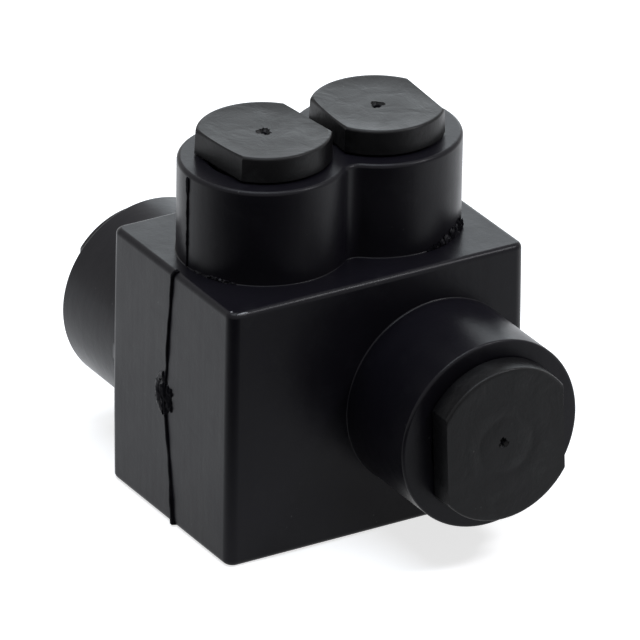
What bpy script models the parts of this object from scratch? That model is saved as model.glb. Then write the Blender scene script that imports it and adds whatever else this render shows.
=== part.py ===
"""Insulated multi-tap connector for two conductors, in metres with +Z up.

The origin is under the middle of the block. The front face looks towards -Y. The screw barrels
stand on the top, the front conductor barrel is on the +X side and the back one on the -X side.
"""

import math

import bmesh
import bpy
from mathutils import Matrix, Vector

# Insulating housing: the block
HOUSING_WIDTH = 0.0387
HOUSING_DEPTH = 0.0267
HOUSING_HEIGHT = 0.0318
HOUSING_WALL = 0.0022
CORNER_RADIUS = 0.0013
EDGE_RADIUS = 0.0007

# Lanes: each conductor lies under its own screw, so one pitch places both
LANE_PITCH = 0.0149

# Screw barrels on the top, run together into one tower
SCREW_BARREL_RADIUS = 0.0098
SCREW_BARREL_HEIGHT = 0.0116
SCREW_WELL_RADIUS = 0.0063
VALLEY_RADIUS = 0.0009
ROOT_FILLET = 0.0003
RIM_RADIUS = 0.0005

# Conductor barrels on the front and the back
PORT_BARREL_RADIUS = 0.0115
PORT_BARREL_LENGTH = 0.0122
PORT_WELL_RADIUS = 0.0074
PORT_WELL_DEPTH = 0.0085
FUNNEL_LENGTH = 0.0025
MOUTH_CHAMFER = 0.0004

# Plugs: the same head height on every barrel
PLUG_HEAD_HEIGHT = 0.0029
PLUG_EDGE_RADIUS = 0.0003
PLUG_DRAFT_ANGLE = 2.0
PLUG_WALL = 0.0013
PLUG_DIMPLE_RADIUS = 0.0006
PLUG_DIMPLE_DEPTH = 0.0003
SCREW_PLUG_RADIUS = 0.0078
SCREW_PLUG_FLAT = 0.00638
SCREW_PLUG_SKIRT = 0.0055
PORT_PLUG_RADIUS = 0.0095
PORT_PLUG_FLAT = 0.0078
PORT_PLUG_SKIRT = 0.0070
LEFT_PLUG_TURN = 5.8
RIGHT_PLUG_TURN = -4.1
PORT_PLUG_TURN = 2.9

# Aluminium block and its set screws
BORE_RADIUS = 0.0056
BORE_END_WALL = 0.0030
BLOCK_CHAMFER = 0.0004
SCREW_HOLE_PAST_BORE = 0.0025
SET_SCREW_RADIUS = 0.00555
SET_SCREW_LENGTH = 0.0105
SET_SCREW_CHAMFER = 0.0007
HEX_ACROSS_FLATS = 0.00476
HEX_DEPTH = 0.0052

# Moulding marks: the flash along the parting line, and the torn gate on it
FLASH_HEIGHT = 0.00042
FLASH_WIDTH = 0.00046
FLASH_DRIFT = 0.0010
FLASH_PATH = (
    (0.0, -1.0), (0.17, -0.5), (0.32, 0.2), (0.49, 1.0), (0.60, 0.55), (0.72, 0.35), (1.0, -0.5)
)
BARREL_FLASH_HEIGHT = 0.00016
BARREL_FLASH_WIDTH = 0.00034
FLASH_STEPS = 20
GATE_WIDTH = 0.0034
GATE_HEIGHT = 0.0048
GATE_PROUD = 0.0004

# Clearances
FIT_GAP = 0.0003
OVERRUN = 0.0010

# Roundness
BARREL_SIDES = 60
TOWER_SIDES = 42
VALLEY_SIDES = 6
SMALL_SIDES = 40
ARC_STEPS = 3

# Lengths that follow from the sizes above
LANE_X = LANE_PITCH / 2
HALF_WIDTH = HOUSING_WIDTH / 2
HALF_DEPTH = HOUSING_DEPTH / 2
PORT_Z = HOUSING_HEIGHT / 2
SCREW_RIM_Z = HOUSING_HEIGHT + SCREW_BARREL_HEIGHT
PORT_RIM_Y = HALF_DEPTH + PORT_BARREL_LENGTH
CAVITY_SIZE = (
    HOUSING_WIDTH - 2 * HOUSING_WALL,
    HOUSING_DEPTH - 2 * HOUSING_WALL,
    HOUSING_HEIGHT - 2 * HOUSING_WALL,
)
BLOCK_SIZE = tuple(side - 2 * FIT_GAP for side in CAVITY_SIZE)
BLOCK_TOP_Z = PORT_Z + BLOCK_SIZE[2] / 2
SET_SCREW_REST_Z = PORT_Z + BORE_RADIUS + FIT_GAP
HEX_RADIUS = HEX_ACROSS_FLATS / math.sqrt(3)


# Small modelling helpers

def arc(centre_r, centre_z, radius, start, end, steps=ARC_STEPS):
    """Points of an arc in the (radius, height) plane, with the angles in degrees."""
    angles = [math.radians(start + (end - start) * k / steps) for k in range(steps + 1)]
    return [
        (centre_r + radius * math.cos(a), centre_z + radius * math.sin(a)) for a in angles
    ]


def finish_mesh(bm, name, matrix=None):
    """Close a bmesh into a new object, with its faces outward."""
    if matrix is not None:
        bmesh.ops.transform(bm, matrix=matrix, verts=bm.verts)
    bmesh.ops.recalc_face_normals(bm, faces=bm.faces)
    mesh = bpy.data.meshes.new(name)
    bm.to_mesh(mesh)
    bm.free()
    obj = bpy.data.objects.new(name, mesh)
    bpy.context.scene.collection.objects.link(obj)
    return obj


def revolve(name, profile, sides, matrix=None):
    """Spin a profile, given as (radius, height) from foot to top of the axis, into a solid."""
    bm = bmesh.new()
    verts = [bm.verts.new((r, 0.0, z)) for r, z in profile]
    edges = [bm.edges.new(pair) for pair in zip(verts, verts[1:])]
    bmesh.ops.spin(
        bm,
        geom=verts + edges,
        cent=(0.0, 0.0, 0.0),
        axis=(0.0, 0.0, 1.0),
        angle=2 * math.pi,
        steps=sides,
        use_merge=True,
    )
    bmesh.ops.remove_doubles(bm, verts=bm.verts, dist=1e-7)
    return finish_mesh(bm, name, matrix)


def box(name, size, centre):
    """A box with its own size in its mesh."""
    bm = bmesh.new()
    bmesh.ops.create_cube(bm, size=1.0)
    bmesh.ops.scale(bm, vec=size, verts=bm.verts)
    return finish_mesh(bm, name, Matrix.Translation(centre))


def apply_modifier(obj, modifier):
    """Apply one modifier in place."""
    with bpy.context.temp_override(object=obj, active_object=obj, selected_objects=[obj]):
        bpy.ops.object.modifier_apply(modifier=modifier.name)


def bevel(obj, width, segments):
    """Round or chamfer every hard edge of an object."""
    modifier = obj.modifiers.new("bevel", "BEVEL")
    modifier.width = width
    modifier.segments = segments
    modifier.limit_method = "ANGLE"
    modifier.angle_limit = math.radians(40)
    apply_modifier(obj, modifier)


def round_edges(obj, chosen, radius, segments):
    """Round those edges of an object that pass a test."""
    bm = bmesh.new()
    bm.from_mesh(obj.data)
    bmesh.ops.bevel(
        bm,
        geom=[edge for edge in bm.edges if chosen(edge)],
        offset=radius,
        segments=segments,
        profile=0.5,
        affect="EDGES",
    )
    bm.to_mesh(obj.data)
    bm.free()


def combine(obj, other, operation):
    """Join or cut one solid with another, which is then removed."""
    other.hide_render = True
    other.display_type = "WIRE"
    modifier = obj.modifiers.new(operation.lower(), "BOOLEAN")
    modifier.operation = operation
    modifier.solver = "EXACT"
    modifier.object = other
    apply_modifier(obj, modifier)
    bpy.data.objects.remove(other, do_unlink=True)


def dress(obj, colour, roughness, metallic, sharp_angle=32):
    """Give an object its own material, and smooth shading between its hard edges."""
    material = bpy.data.materials.new(obj.name + "_material")
    material.use_nodes = True
    shader = material.node_tree.nodes["Principled BSDF"]
    shader.inputs["Base Color"].default_value = (*colour, 1.0)
    shader.inputs["Roughness"].default_value = roughness
    shader.inputs["Metallic"].default_value = metallic
    obj.data.materials.clear()
    obj.data.materials.append(material)
    obj.data.shade_smooth()
    obj.data.set_sharp_from_angle(angle=math.radians(sharp_angle))


# Frames: the barrels' own axes, with +Z pointing out of the barrel

def screw_frame(side, height):
    """Frame on a screw barrel's axis. Side is -1 on the left and 1 on the right."""
    return Matrix.Translation((side * LANE_X, 0.0, height))


def port_frame(side, reach):
    """Frame on a conductor barrel's axis. Side is 1 for the front one, -1 for the back one."""
    turn = Matrix.Rotation(math.radians(90 * side), 4, "X")
    return Matrix.Translation((side * LANE_X, -side * reach, PORT_Z)) @ turn


# Insulating housing

def is_upright(edge):
    """Whether an edge of the block runs from its bottom to its top."""
    return abs(edge.verts[0].co.z - edge.verts[1].co.z) > HOUSING_HEIGHT / 2


def is_level(edge):
    """Whether an edge of the block lies in its bottom or its top."""
    return not is_upright(edge)


def block_shell():
    """Outer block, with its upright corners rounded first and then its level edges."""
    size = (HOUSING_WIDTH, HOUSING_DEPTH, HOUSING_HEIGHT)
    shell = box("insulating_housing", size, (0.0, 0.0, PORT_Z))
    round_edges(shell, is_upright, CORNER_RADIUS, 4)
    round_edges(shell, is_level, EDGE_RADIUS, 3)
    return shell


def barrel_profile(radius, length):
    """Offset and height of a barrel's side: buried foot, root fillet, rounded rim."""
    foot = [(radius + ROOT_FILLET, -HOUSING_WALL / 2)]
    fillet = arc(radius + ROOT_FILLET, ROOT_FILLET, ROOT_FILLET, 270, 180)
    rim = arc(radius - RIM_RADIUS, length - RIM_RADIUS, RIM_RADIUS, 0, 90)
    return foot + fillet + rim


def tower_outline(grow):
    """Figure-eight outline of the two screw barrels and their valleys, grown by an offset."""
    reach = SCREW_BARREL_RADIUS + VALLEY_RADIUS
    valley_y = math.sqrt(reach**2 - LANE_X**2)
    lean = math.degrees(math.acos(LANE_X / reach))
    barrel = SCREW_BARREL_RADIUS + grow
    valley = VALLEY_RADIUS - grow
    right = arc(LANE_X, 0.0, barrel, lean - 180, 180 - lean, TOWER_SIDES)
    back = arc(0.0, valley_y, valley, -lean, lean - 180, VALLEY_SIDES)
    half = right + back[1:-1]
    return half + [(-x, -y) for x, y in half]


def screw_tower():
    """The two screw barrels as one solid, drawn up ring by ring with its fillet and rim."""
    bm = bmesh.new()
    rings = []
    for offset, height in barrel_profile(0.0, SCREW_BARREL_HEIGHT):
        outline = tower_outline(offset)
        rings.append([bm.verts.new((x, y, HOUSING_HEIGHT + height)) for x, y in outline])
    for lower, upper in zip(rings, rings[1:]):
        for k in range(len(lower)):
            bm.faces.new((lower[k - 1], lower[k], upper[k], upper[k - 1]))
    bm.faces.new(rings[0])
    bm.faces.new(rings[-1])
    return finish_mesh(bm, "screw_tower")


def port_barrel(side):
    """Conductor barrel with a root fillet and a rounded rim, on the front or the back face."""
    side_profile = barrel_profile(PORT_BARREL_RADIUS, PORT_BARREL_LENGTH)
    profile = [(0.0, -HOUSING_WALL / 2)] + side_profile + [(0.0, PORT_BARREL_LENGTH)]
    return revolve("port_barrel", profile, BARREL_SIDES, port_frame(side, HALF_DEPTH))


def ragged(k, phase):
    """A repeatable uneven factor between about 0.5 and 1 for station k of a torn edge."""
    return 0.76 + 0.15 * math.sin(2.3 * k + phase) + 0.09 * math.sin(5.9 * k + 2 * phase)


def flash_drift(share):
    """Sideways drift of the parting line at a share of the block's height."""
    for (low, before), (high, after) in zip(FLASH_PATH, FLASH_PATH[1:]):
        if share <= high:
            return FLASH_DRIFT * (before + (after - before) * (share - low) / (high - low))
    return FLASH_DRIFT * FLASH_PATH[-1][1]


def flash_ridge(name, foot, top, proud, width, drift, phase, matrix):
    """Thin torn ridge that climbs a face along +Z, drawn out station by station."""
    bm = bmesh.new()
    root = -OVERRUN / 2
    ring = [(root, -width), (root, width), (proud, 0.0)]
    start = drift(foot / HOUSING_HEIGHT)
    face = bm.faces.new([bm.verts.new((-x, start + y, foot)) for x, y in ring])
    for k in range(1, FLASH_STEPS + 1):
        share = k / FLASH_STEPS
        result = bmesh.ops.extrude_face_region(bm, geom=[face])
        if k > 1:
            bmesh.ops.delete(bm, geom=[face], context="FACES_ONLY")
        face = next(f for f in result["geom"] if isinstance(f, bmesh.types.BMFace))
        height = foot + (top - foot) * share
        middle = drift(height / HOUSING_HEIGHT)
        size = ragged(k, phase) * (1.0 if k < FLASH_STEPS else 0.3)
        corners = sorted(face.verts, key=lambda v: v.co.x)
        corners[0].co = Vector((-proud * size, middle, height))
        feet = sorted(corners[1:], key=lambda v: v.co.y)
        feet[0].co = Vector((-root, middle - width * size, height))
        feet[1].co = Vector((-root, middle + width * size, height))
    return finish_mesh(bm, name, matrix)


def gate_mark():
    """Torn lump of the moulding gate, an uneven dome on the parting line."""
    bm = bmesh.new()
    bmesh.ops.create_uvsphere(bm, u_segments=16, v_segments=8, radius=1.0)
    for vert in bm.verts:
        turn = math.atan2(vert.co.z, vert.co.y)
        swell = 1.0 + 0.10 * math.sin(3 * turn + 0.6) + 0.05 * math.sin(7 * turn)
        vert.co.y *= swell
        vert.co.z *= swell
    size = (2 * GATE_PROUD, GATE_WIDTH / 2, GATE_HEIGHT / 2)
    bmesh.ops.scale(bm, vec=size, verts=bm.verts)
    place = Matrix.Translation((-HALF_WIDTH + GATE_PROUD, FLASH_DRIFT, PORT_Z))
    return finish_mesh(bm, "gate_mark", place)


def screw_well(side):
    """Cutter for the access well above a set screw, down through the roof of the block."""
    wide = SCREW_WELL_RADIUS + MOUTH_CHAMFER
    profile = [
        (0.0, -HOUSING_WALL - OVERRUN),
        (SCREW_WELL_RADIUS, -HOUSING_WALL - OVERRUN),
        (SCREW_WELL_RADIUS, SCREW_BARREL_HEIGHT - MOUTH_CHAMFER),
        (wide, SCREW_BARREL_HEIGHT),
        (wide, SCREW_BARREL_HEIGHT + OVERRUN),
        (0.0, SCREW_BARREL_HEIGHT + OVERRUN),
    ]
    return revolve("screw_well", profile, SMALL_SIDES, screw_frame(side, HOUSING_HEIGHT))


def port_well(side):
    """Cutter for a conductor's way in: a straight mouth, a funnel and the neck to the bore."""
    neck = BORE_RADIUS + FIT_GAP
    wide = PORT_WELL_RADIUS + MOUTH_CHAMFER
    shoulder = PORT_BARREL_LENGTH - PORT_WELL_DEPTH
    profile = [
        (0.0, -HOUSING_WALL - OVERRUN),
        (neck, -HOUSING_WALL - OVERRUN),
        (neck, shoulder - FUNNEL_LENGTH),
        (PORT_WELL_RADIUS, shoulder),
        (PORT_WELL_RADIUS, PORT_BARREL_LENGTH - MOUTH_CHAMFER),
        (wide, PORT_BARREL_LENGTH),
        (wide, PORT_BARREL_LENGTH + OVERRUN),
        (0.0, PORT_BARREL_LENGTH + OVERRUN),
    ]
    return revolve("port_well", profile, SMALL_SIDES, port_frame(side, HALF_DEPTH))


def insulating_housing():
    """The one-piece moulding: block, four barrels, moulding marks, cavity and wells."""
    housing = block_shell()
    combine(housing, screw_tower(), "UNION")
    for side in (-1, 1):
        combine(housing, port_barrel(side), "UNION")
    half_turn = Matrix.Rotation(math.pi, 4, "Z")
    for side, turn, phase in ((-1, Matrix.Identity(4), 0.4), (1, half_turn, 2.1)):
        on_block = turn @ Matrix.Translation((-HALF_WIDTH, 0.0, 0.0))
        on_barrel = turn @ Matrix.Translation((-LANE_X - SCREW_BARREL_RADIUS, 0.0, 0.0))
        block_ridge = flash_ridge(
            "block_flash", EDGE_RADIUS, HOUSING_HEIGHT - EDGE_RADIUS,
            FLASH_HEIGHT, FLASH_WIDTH, flash_drift, phase, on_block,
        )
        barrel_ridge = flash_ridge(
            "barrel_flash", HOUSING_HEIGHT + ROOT_FILLET, SCREW_RIM_Z - RIM_RADIUS,
            BARREL_FLASH_HEIGHT, BARREL_FLASH_WIDTH, lambda share: 0.0, phase, on_barrel,
        )
        combine(housing, block_ridge, "UNION")
        combine(housing, barrel_ridge, "UNION")
    combine(housing, gate_mark(), "UNION")
    combine(housing, box("cavity", CAVITY_SIZE, (0.0, 0.0, PORT_Z)), "DIFFERENCE")
    for side in (-1, 1):
        combine(housing, screw_well(side), "DIFFERENCE")
        combine(housing, port_well(side), "DIFFERENCE")
    dress(housing, (0.020, 0.021, 0.023), 0.42, 0.0)
    return housing


# Aluminium block and set screws

def lane_bore(side):
    """Cutter for one conductor bore, blind at its far end and chamfered at its mouth."""
    mouth = BLOCK_SIZE[1] / 2
    depth = BLOCK_SIZE[1] - BORE_END_WALL
    profile = [
        (0.0, -depth),
        (BORE_RADIUS, -depth),
        (BORE_RADIUS, -BLOCK_CHAMFER),
        (BORE_RADIUS + BLOCK_CHAMFER, 0.0),
        (BORE_RADIUS + BLOCK_CHAMFER, OVERRUN),
        (0.0, OVERRUN),
    ]
    return revolve("lane_bore", profile, SMALL_SIDES, port_frame(side, mouth))


def screw_hole(side):
    """Cutter for a tapped hole from the top of the block into the bore, past its middle."""
    radius = SET_SCREW_RADIUS + FIT_GAP
    depth = BLOCK_TOP_Z - PORT_Z + SCREW_HOLE_PAST_BORE
    profile = [
        (0.0, -depth - radius / 2),
        (radius, -depth),
        (radius, -BLOCK_CHAMFER),
        (radius + BLOCK_CHAMFER, 0.0),
        (radius + BLOCK_CHAMFER, OVERRUN),
        (0.0, OVERRUN),
    ]
    return revolve("screw_hole", profile, SMALL_SIDES, screw_frame(side, BLOCK_TOP_Z))


def connector_block():
    """Aluminium block with two blind bores from opposite faces and two screw holes."""
    block = box("connector_block", BLOCK_SIZE, (0.0, 0.0, PORT_Z))
    bevel(block, BLOCK_CHAMFER, 1)
    for side in (-1, 1):
        combine(block, lane_bore(side), "DIFFERENCE")
        combine(block, screw_hole(side), "DIFFERENCE")
    dress(block, (0.78, 0.79, 0.80), 0.34, 1.0)
    return block


def set_screw(name, side):
    """Set screw with a chamfered point and a hexagon socket, backed off above the bore."""
    radius = SET_SCREW_RADIUS
    chamfer = SET_SCREW_CHAMFER
    profile = [
        (0.0, 0.0),
        (radius - 2 * chamfer, 0.0),
        (radius, 1.2 * chamfer),
        (radius, SET_SCREW_LENGTH - chamfer),
        (radius - chamfer, SET_SCREW_LENGTH),
        (0.0, SET_SCREW_LENGTH),
    ]
    screw = revolve(name, profile, SMALL_SIDES)
    bm = bmesh.new()
    bmesh.ops.create_cone(
        bm,
        cap_ends=True,
        segments=6,
        radius1=HEX_RADIUS,
        radius2=HEX_RADIUS,
        depth=HEX_DEPTH + OVERRUN,
    )
    floor = min(bm.faces, key=lambda f: f.calc_center_median().z)
    point = bmesh.ops.poke(bm, faces=[floor])["verts"]
    bmesh.ops.translate(bm, vec=(0.0, 0.0, -HEX_RADIUS / 3), verts=point)
    middle = SET_SCREW_LENGTH + (OVERRUN - HEX_DEPTH) / 2
    socket = finish_mesh(bm, "hex_socket", Matrix.Translation((0.0, 0.0, middle)))
    combine(screw, socket, "DIFFERENCE")
    screw.location = (side * LANE_X, 0.0, SET_SCREW_REST_Z)
    dress(screw, (0.66, 0.67, 0.68), 0.30, 1.0)
    return screw


# Plugs

def trim(bm, point, normal):
    """Cut away what lies beyond a plane, and close the cut with a flat face."""
    result = bmesh.ops.bisect_plane(
        bm,
        geom=bm.verts[:] + bm.edges[:] + bm.faces[:],
        dist=1e-7,
        plane_co=point,
        plane_no=normal,
        clear_outer=True,
    )
    rim = [e for e in result["geom_cut"] if isinstance(e, bmesh.types.BMEdge)]
    bmesh.ops.contextual_create(bm, geom=rim)


def plug_head(name, radius, flat):
    """Round drafted head trimmed by two parallel flats, with a softly rounded top edge."""
    top = FIT_GAP + PLUG_HEAD_HEIGHT
    lean = math.tan(math.radians(PLUG_DRAFT_ANGLE)) * PLUG_HEAD_HEIGHT
    edge = PLUG_EDGE_RADIUS
    rim = arc(radius - lean - edge, top - edge, edge, 0, 90)
    head = revolve(name, [(0.0, FIT_GAP), (radius, FIT_GAP)] + rim + [(0.0, top)], BARREL_SIDES)
    bm = bmesh.new()
    bm.from_mesh(head.data)
    for side in (-1, 1):
        leaning = math.radians(PLUG_DRAFT_ANGLE)
        trim(bm, (side * flat, 0.0, FIT_GAP), (side * math.cos(leaning), 0.0, math.sin(leaning)))
        for step in range(1, ARC_STEPS):
            angle = math.radians(90 * step / ARC_STEPS)
            normal = Vector((side * math.cos(angle), 0.0, math.sin(angle)))
            centre = Vector((side * (flat - lean - edge), 0.0, top - edge))
            trim(bm, centre + edge * normal, normal)
    bmesh.ops.recalc_face_normals(bm, faces=bm.faces)
    bm.to_mesh(head.data)
    bm.free()
    return head


def barrel_plug(name, radius, flat, well_radius, skirt, frame, turn):
    """Plug with a flatted head on the rim and a hollow skirt inside the well."""
    plug = plug_head(name, radius, flat)
    top = FIT_GAP + PLUG_HEAD_HEIGHT
    dimple = [
        (0.0, top - PLUG_DIMPLE_DEPTH),
        (PLUG_DIMPLE_RADIUS * 0.4, top - PLUG_DIMPLE_DEPTH),
        (PLUG_DIMPLE_RADIUS * 1.6, top + PLUG_DIMPLE_DEPTH),
        (0.0, top + PLUG_DIMPLE_DEPTH),
    ]
    combine(plug, revolve("dimple", dimple, SMALL_SIDES // 2), "DIFFERENCE")
    outer = well_radius - FIT_GAP
    lead = MOUTH_CHAMFER
    stem = [
        (0.0, -skirt),
        (outer - lead, -skirt),
        (outer, -skirt + 2 * lead),
        (outer, FIT_GAP + PLUG_HEAD_HEIGHT / 3),
        (0.0, FIT_GAP + PLUG_HEAD_HEIGHT / 3),
    ]
    combine(plug, revolve("stem", stem, SMALL_SIDES), "UNION")
    inner = outer - PLUG_WALL
    roof = top - PLUG_WALL
    hollow = [
        (0.0, -skirt - OVERRUN),
        (inner, -skirt - OVERRUN),
        (inner, roof - RIM_RADIUS),
        (inner - RIM_RADIUS, roof),
        (0.0, roof),
    ]
    combine(plug, revolve("hollow", hollow, SMALL_SIDES), "DIFFERENCE")
    pose = frame @ Matrix.Rotation(math.radians(turn), 4, "Z")
    plug.location = pose.translation
    plug.rotation_euler = pose.to_euler()
    dress(plug, (0.030, 0.031, 0.034), 0.40, 0.0)
    return plug


def screw_plug(name, side, turn):
    """Plug of a screw barrel."""
    frame = screw_frame(side, SCREW_RIM_Z)
    return barrel_plug(
        name, SCREW_PLUG_RADIUS, SCREW_PLUG_FLAT, SCREW_WELL_RADIUS, SCREW_PLUG_SKIRT, frame, turn
    )


def port_plug(name, side):
    """Plug of a conductor barrel."""
    frame = port_frame(side, PORT_RIM_Y)
    return barrel_plug(
        name, PORT_PLUG_RADIUS, PORT_PLUG_FLAT, PORT_WELL_RADIUS, PORT_PLUG_SKIRT, frame,
        PORT_PLUG_TURN,
    )


def main():
    for obj in list(bpy.data.objects):
        bpy.data.objects.remove(obj, do_unlink=True)
    insulating_housing()
    connector_block()
    set_screw("set_screw_left", -1)
    set_screw("set_screw_right", 1)
    screw_plug("screw_plug_left", -1, LEFT_PLUG_TURN)
    screw_plug("screw_plug_right", 1, RIGHT_PLUG_TURN)
    port_plug("port_plug_front", 1)
    port_plug("port_plug_back", -1)


main()
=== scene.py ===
"""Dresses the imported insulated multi-tap connector and sets it in a pale studio.

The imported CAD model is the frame. The moulded housing, the plugs, the aluminium block and the set
screws are remodelled here with softer edges, moulding marks and real surfaces, each in the place of
its CAD node and riding on that node's body.
"""

import logging
import math
import random
from dataclasses import dataclass
from enum import Enum
from typing import Callable, Optional, Sequence

import bmesh
import bpy
from mathutils import Matrix, Vector


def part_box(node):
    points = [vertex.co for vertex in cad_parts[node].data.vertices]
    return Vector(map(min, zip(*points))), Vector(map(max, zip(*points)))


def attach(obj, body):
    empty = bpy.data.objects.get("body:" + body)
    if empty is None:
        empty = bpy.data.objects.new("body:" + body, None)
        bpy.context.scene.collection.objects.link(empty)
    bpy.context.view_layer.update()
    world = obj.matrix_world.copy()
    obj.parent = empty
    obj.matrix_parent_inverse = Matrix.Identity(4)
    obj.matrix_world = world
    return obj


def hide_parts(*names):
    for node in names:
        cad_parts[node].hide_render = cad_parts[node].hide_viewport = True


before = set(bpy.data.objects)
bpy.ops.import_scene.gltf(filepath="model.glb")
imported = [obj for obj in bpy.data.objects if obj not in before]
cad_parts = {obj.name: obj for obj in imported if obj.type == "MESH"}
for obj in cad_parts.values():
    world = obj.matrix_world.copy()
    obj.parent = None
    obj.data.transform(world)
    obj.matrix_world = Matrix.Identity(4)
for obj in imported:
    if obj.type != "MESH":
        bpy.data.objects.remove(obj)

LOG = logging.getLogger("connector")
Piece = bpy.types.Object
Socket = bpy.types.NodeSocket
Profile = list[tuple[float, float]]
Point = tuple[float, float, float]
Colour = tuple[float, float, float]

BUMP_STEP = 0.00002
TOLERANCE = 1e-5
MERGE_REACH = 1e-7
SHARP_ANGLE = math.radians(40)
WHITE: Colour = (1.0, 1.0, 1.0)


class Side(Enum):
    """The two lanes of the connector, by the sign of X."""

    LEFT = -1
    RIGHT = 1


class Plugged(Enum):
    """The four barrels, each by the name of the plug node that closes it."""

    SCREW_LEFT = "screw_plug_left"
    SCREW_RIGHT = "screw_plug_right"
    PORT_FRONT = "port_plug_front"
    PORT_BACK = "port_plug_back"


class Blend(Enum):
    """How one solid is combined with another."""

    JOIN = "UNION"
    CUT = "DIFFERENCE"


class Element(Enum):
    """What is selected in edit mode, by the name of its list in the mesh."""

    VERT = "verts"
    EDGE = "edges"
    FACE = "faces"


@dataclass(frozen=True)
class ConnectorSizes:
    """Sizes that more than one piece shares, in metres, as the CAD model has them.

    Attributes:
        width: The block's size along X, without its flash.
        depth: Its size along Y, without its barrels.
        height: Its size along Z, without its barrels.
        wall: Thickness of the plastic round the aluminium block.
        lane_pitch: Distance between the two lanes.
        screw_barrel_radius: Radius of the screw barrels.
        screw_barrel_height: How far they stand above the block.
        screw_well_radius: Radius of the wells in them.
        port_barrel_radius: Radius of the conductor barrels.
        port_barrel_length: How far they stand off the block.
        port_well_radius: Radius of the wells in them.
        port_well_depth: Depth of these wells, down to the funnel.
        funnel_length: Length of the funnel that leads a conductor in.
        mouth_chamfer: Chamfer of every well's mouth.
        bore_radius: Radius of the aluminium block's conductor bores.
        fit_gap: Play between two pieces that fit into each other.
        overrun: How far a cutter reaches past what it cuts.
    """

    width: float = 0.0387
    depth: float = 0.0267
    height: float = 0.0318
    wall: float = 0.0022
    lane_pitch: float = 0.0149
    screw_barrel_radius: float = 0.0098
    screw_barrel_height: float = 0.0116
    screw_well_radius: float = 0.0063
    port_barrel_radius: float = 0.0115
    port_barrel_length: float = 0.0122
    port_well_radius: float = 0.0074
    port_well_depth: float = 0.0085
    funnel_length: float = 0.0025
    mouth_chamfer: float = 0.0004
    bore_radius: float = 0.0056
    fit_gap: float = 0.0003
    overrun: float = 0.0010

    @property
    def lane_x(self) -> float:
        """Distance of each lane from the middle."""
        return self.lane_pitch / 2

    @property
    def port_z(self) -> float:
        """Height of the conductor barrels' axis."""
        return self.height / 2

    @property
    def screw_rim_z(self) -> float:
        """Height of the screw barrels' rims."""
        return self.height + self.screw_barrel_height

    @property
    def port_rim_y(self) -> float:
        """Reach of the conductor barrels' rims from the middle."""
        return self.depth / 2 + self.port_barrel_length

    def screw_frame(self, side: Side, height: float) -> Matrix:
        """Frame at a height on a screw barrel's axis, whose +Z points out of the barrel."""
        return Matrix.Translation((side.value * self.lane_x, 0.0, height))

    def port_frame(self, side: Side, reach: float) -> Matrix:
        """Frame on a conductor barrel's axis.

        Args:
            side: RIGHT is the front barrel, LEFT the back one.
            reach: Distance of the frame's origin from the middle along Y.

        Returns:
            A matrix whose +Z points out of the barrel.
        """
        turn = Matrix.Rotation(math.radians(90 * side.value), 4, "X")
        place = (side.value * self.lane_x, -side.value * reach, self.port_z)
        return Matrix.Translation(place) @ turn


SIZES = ConnectorSizes()


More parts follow.
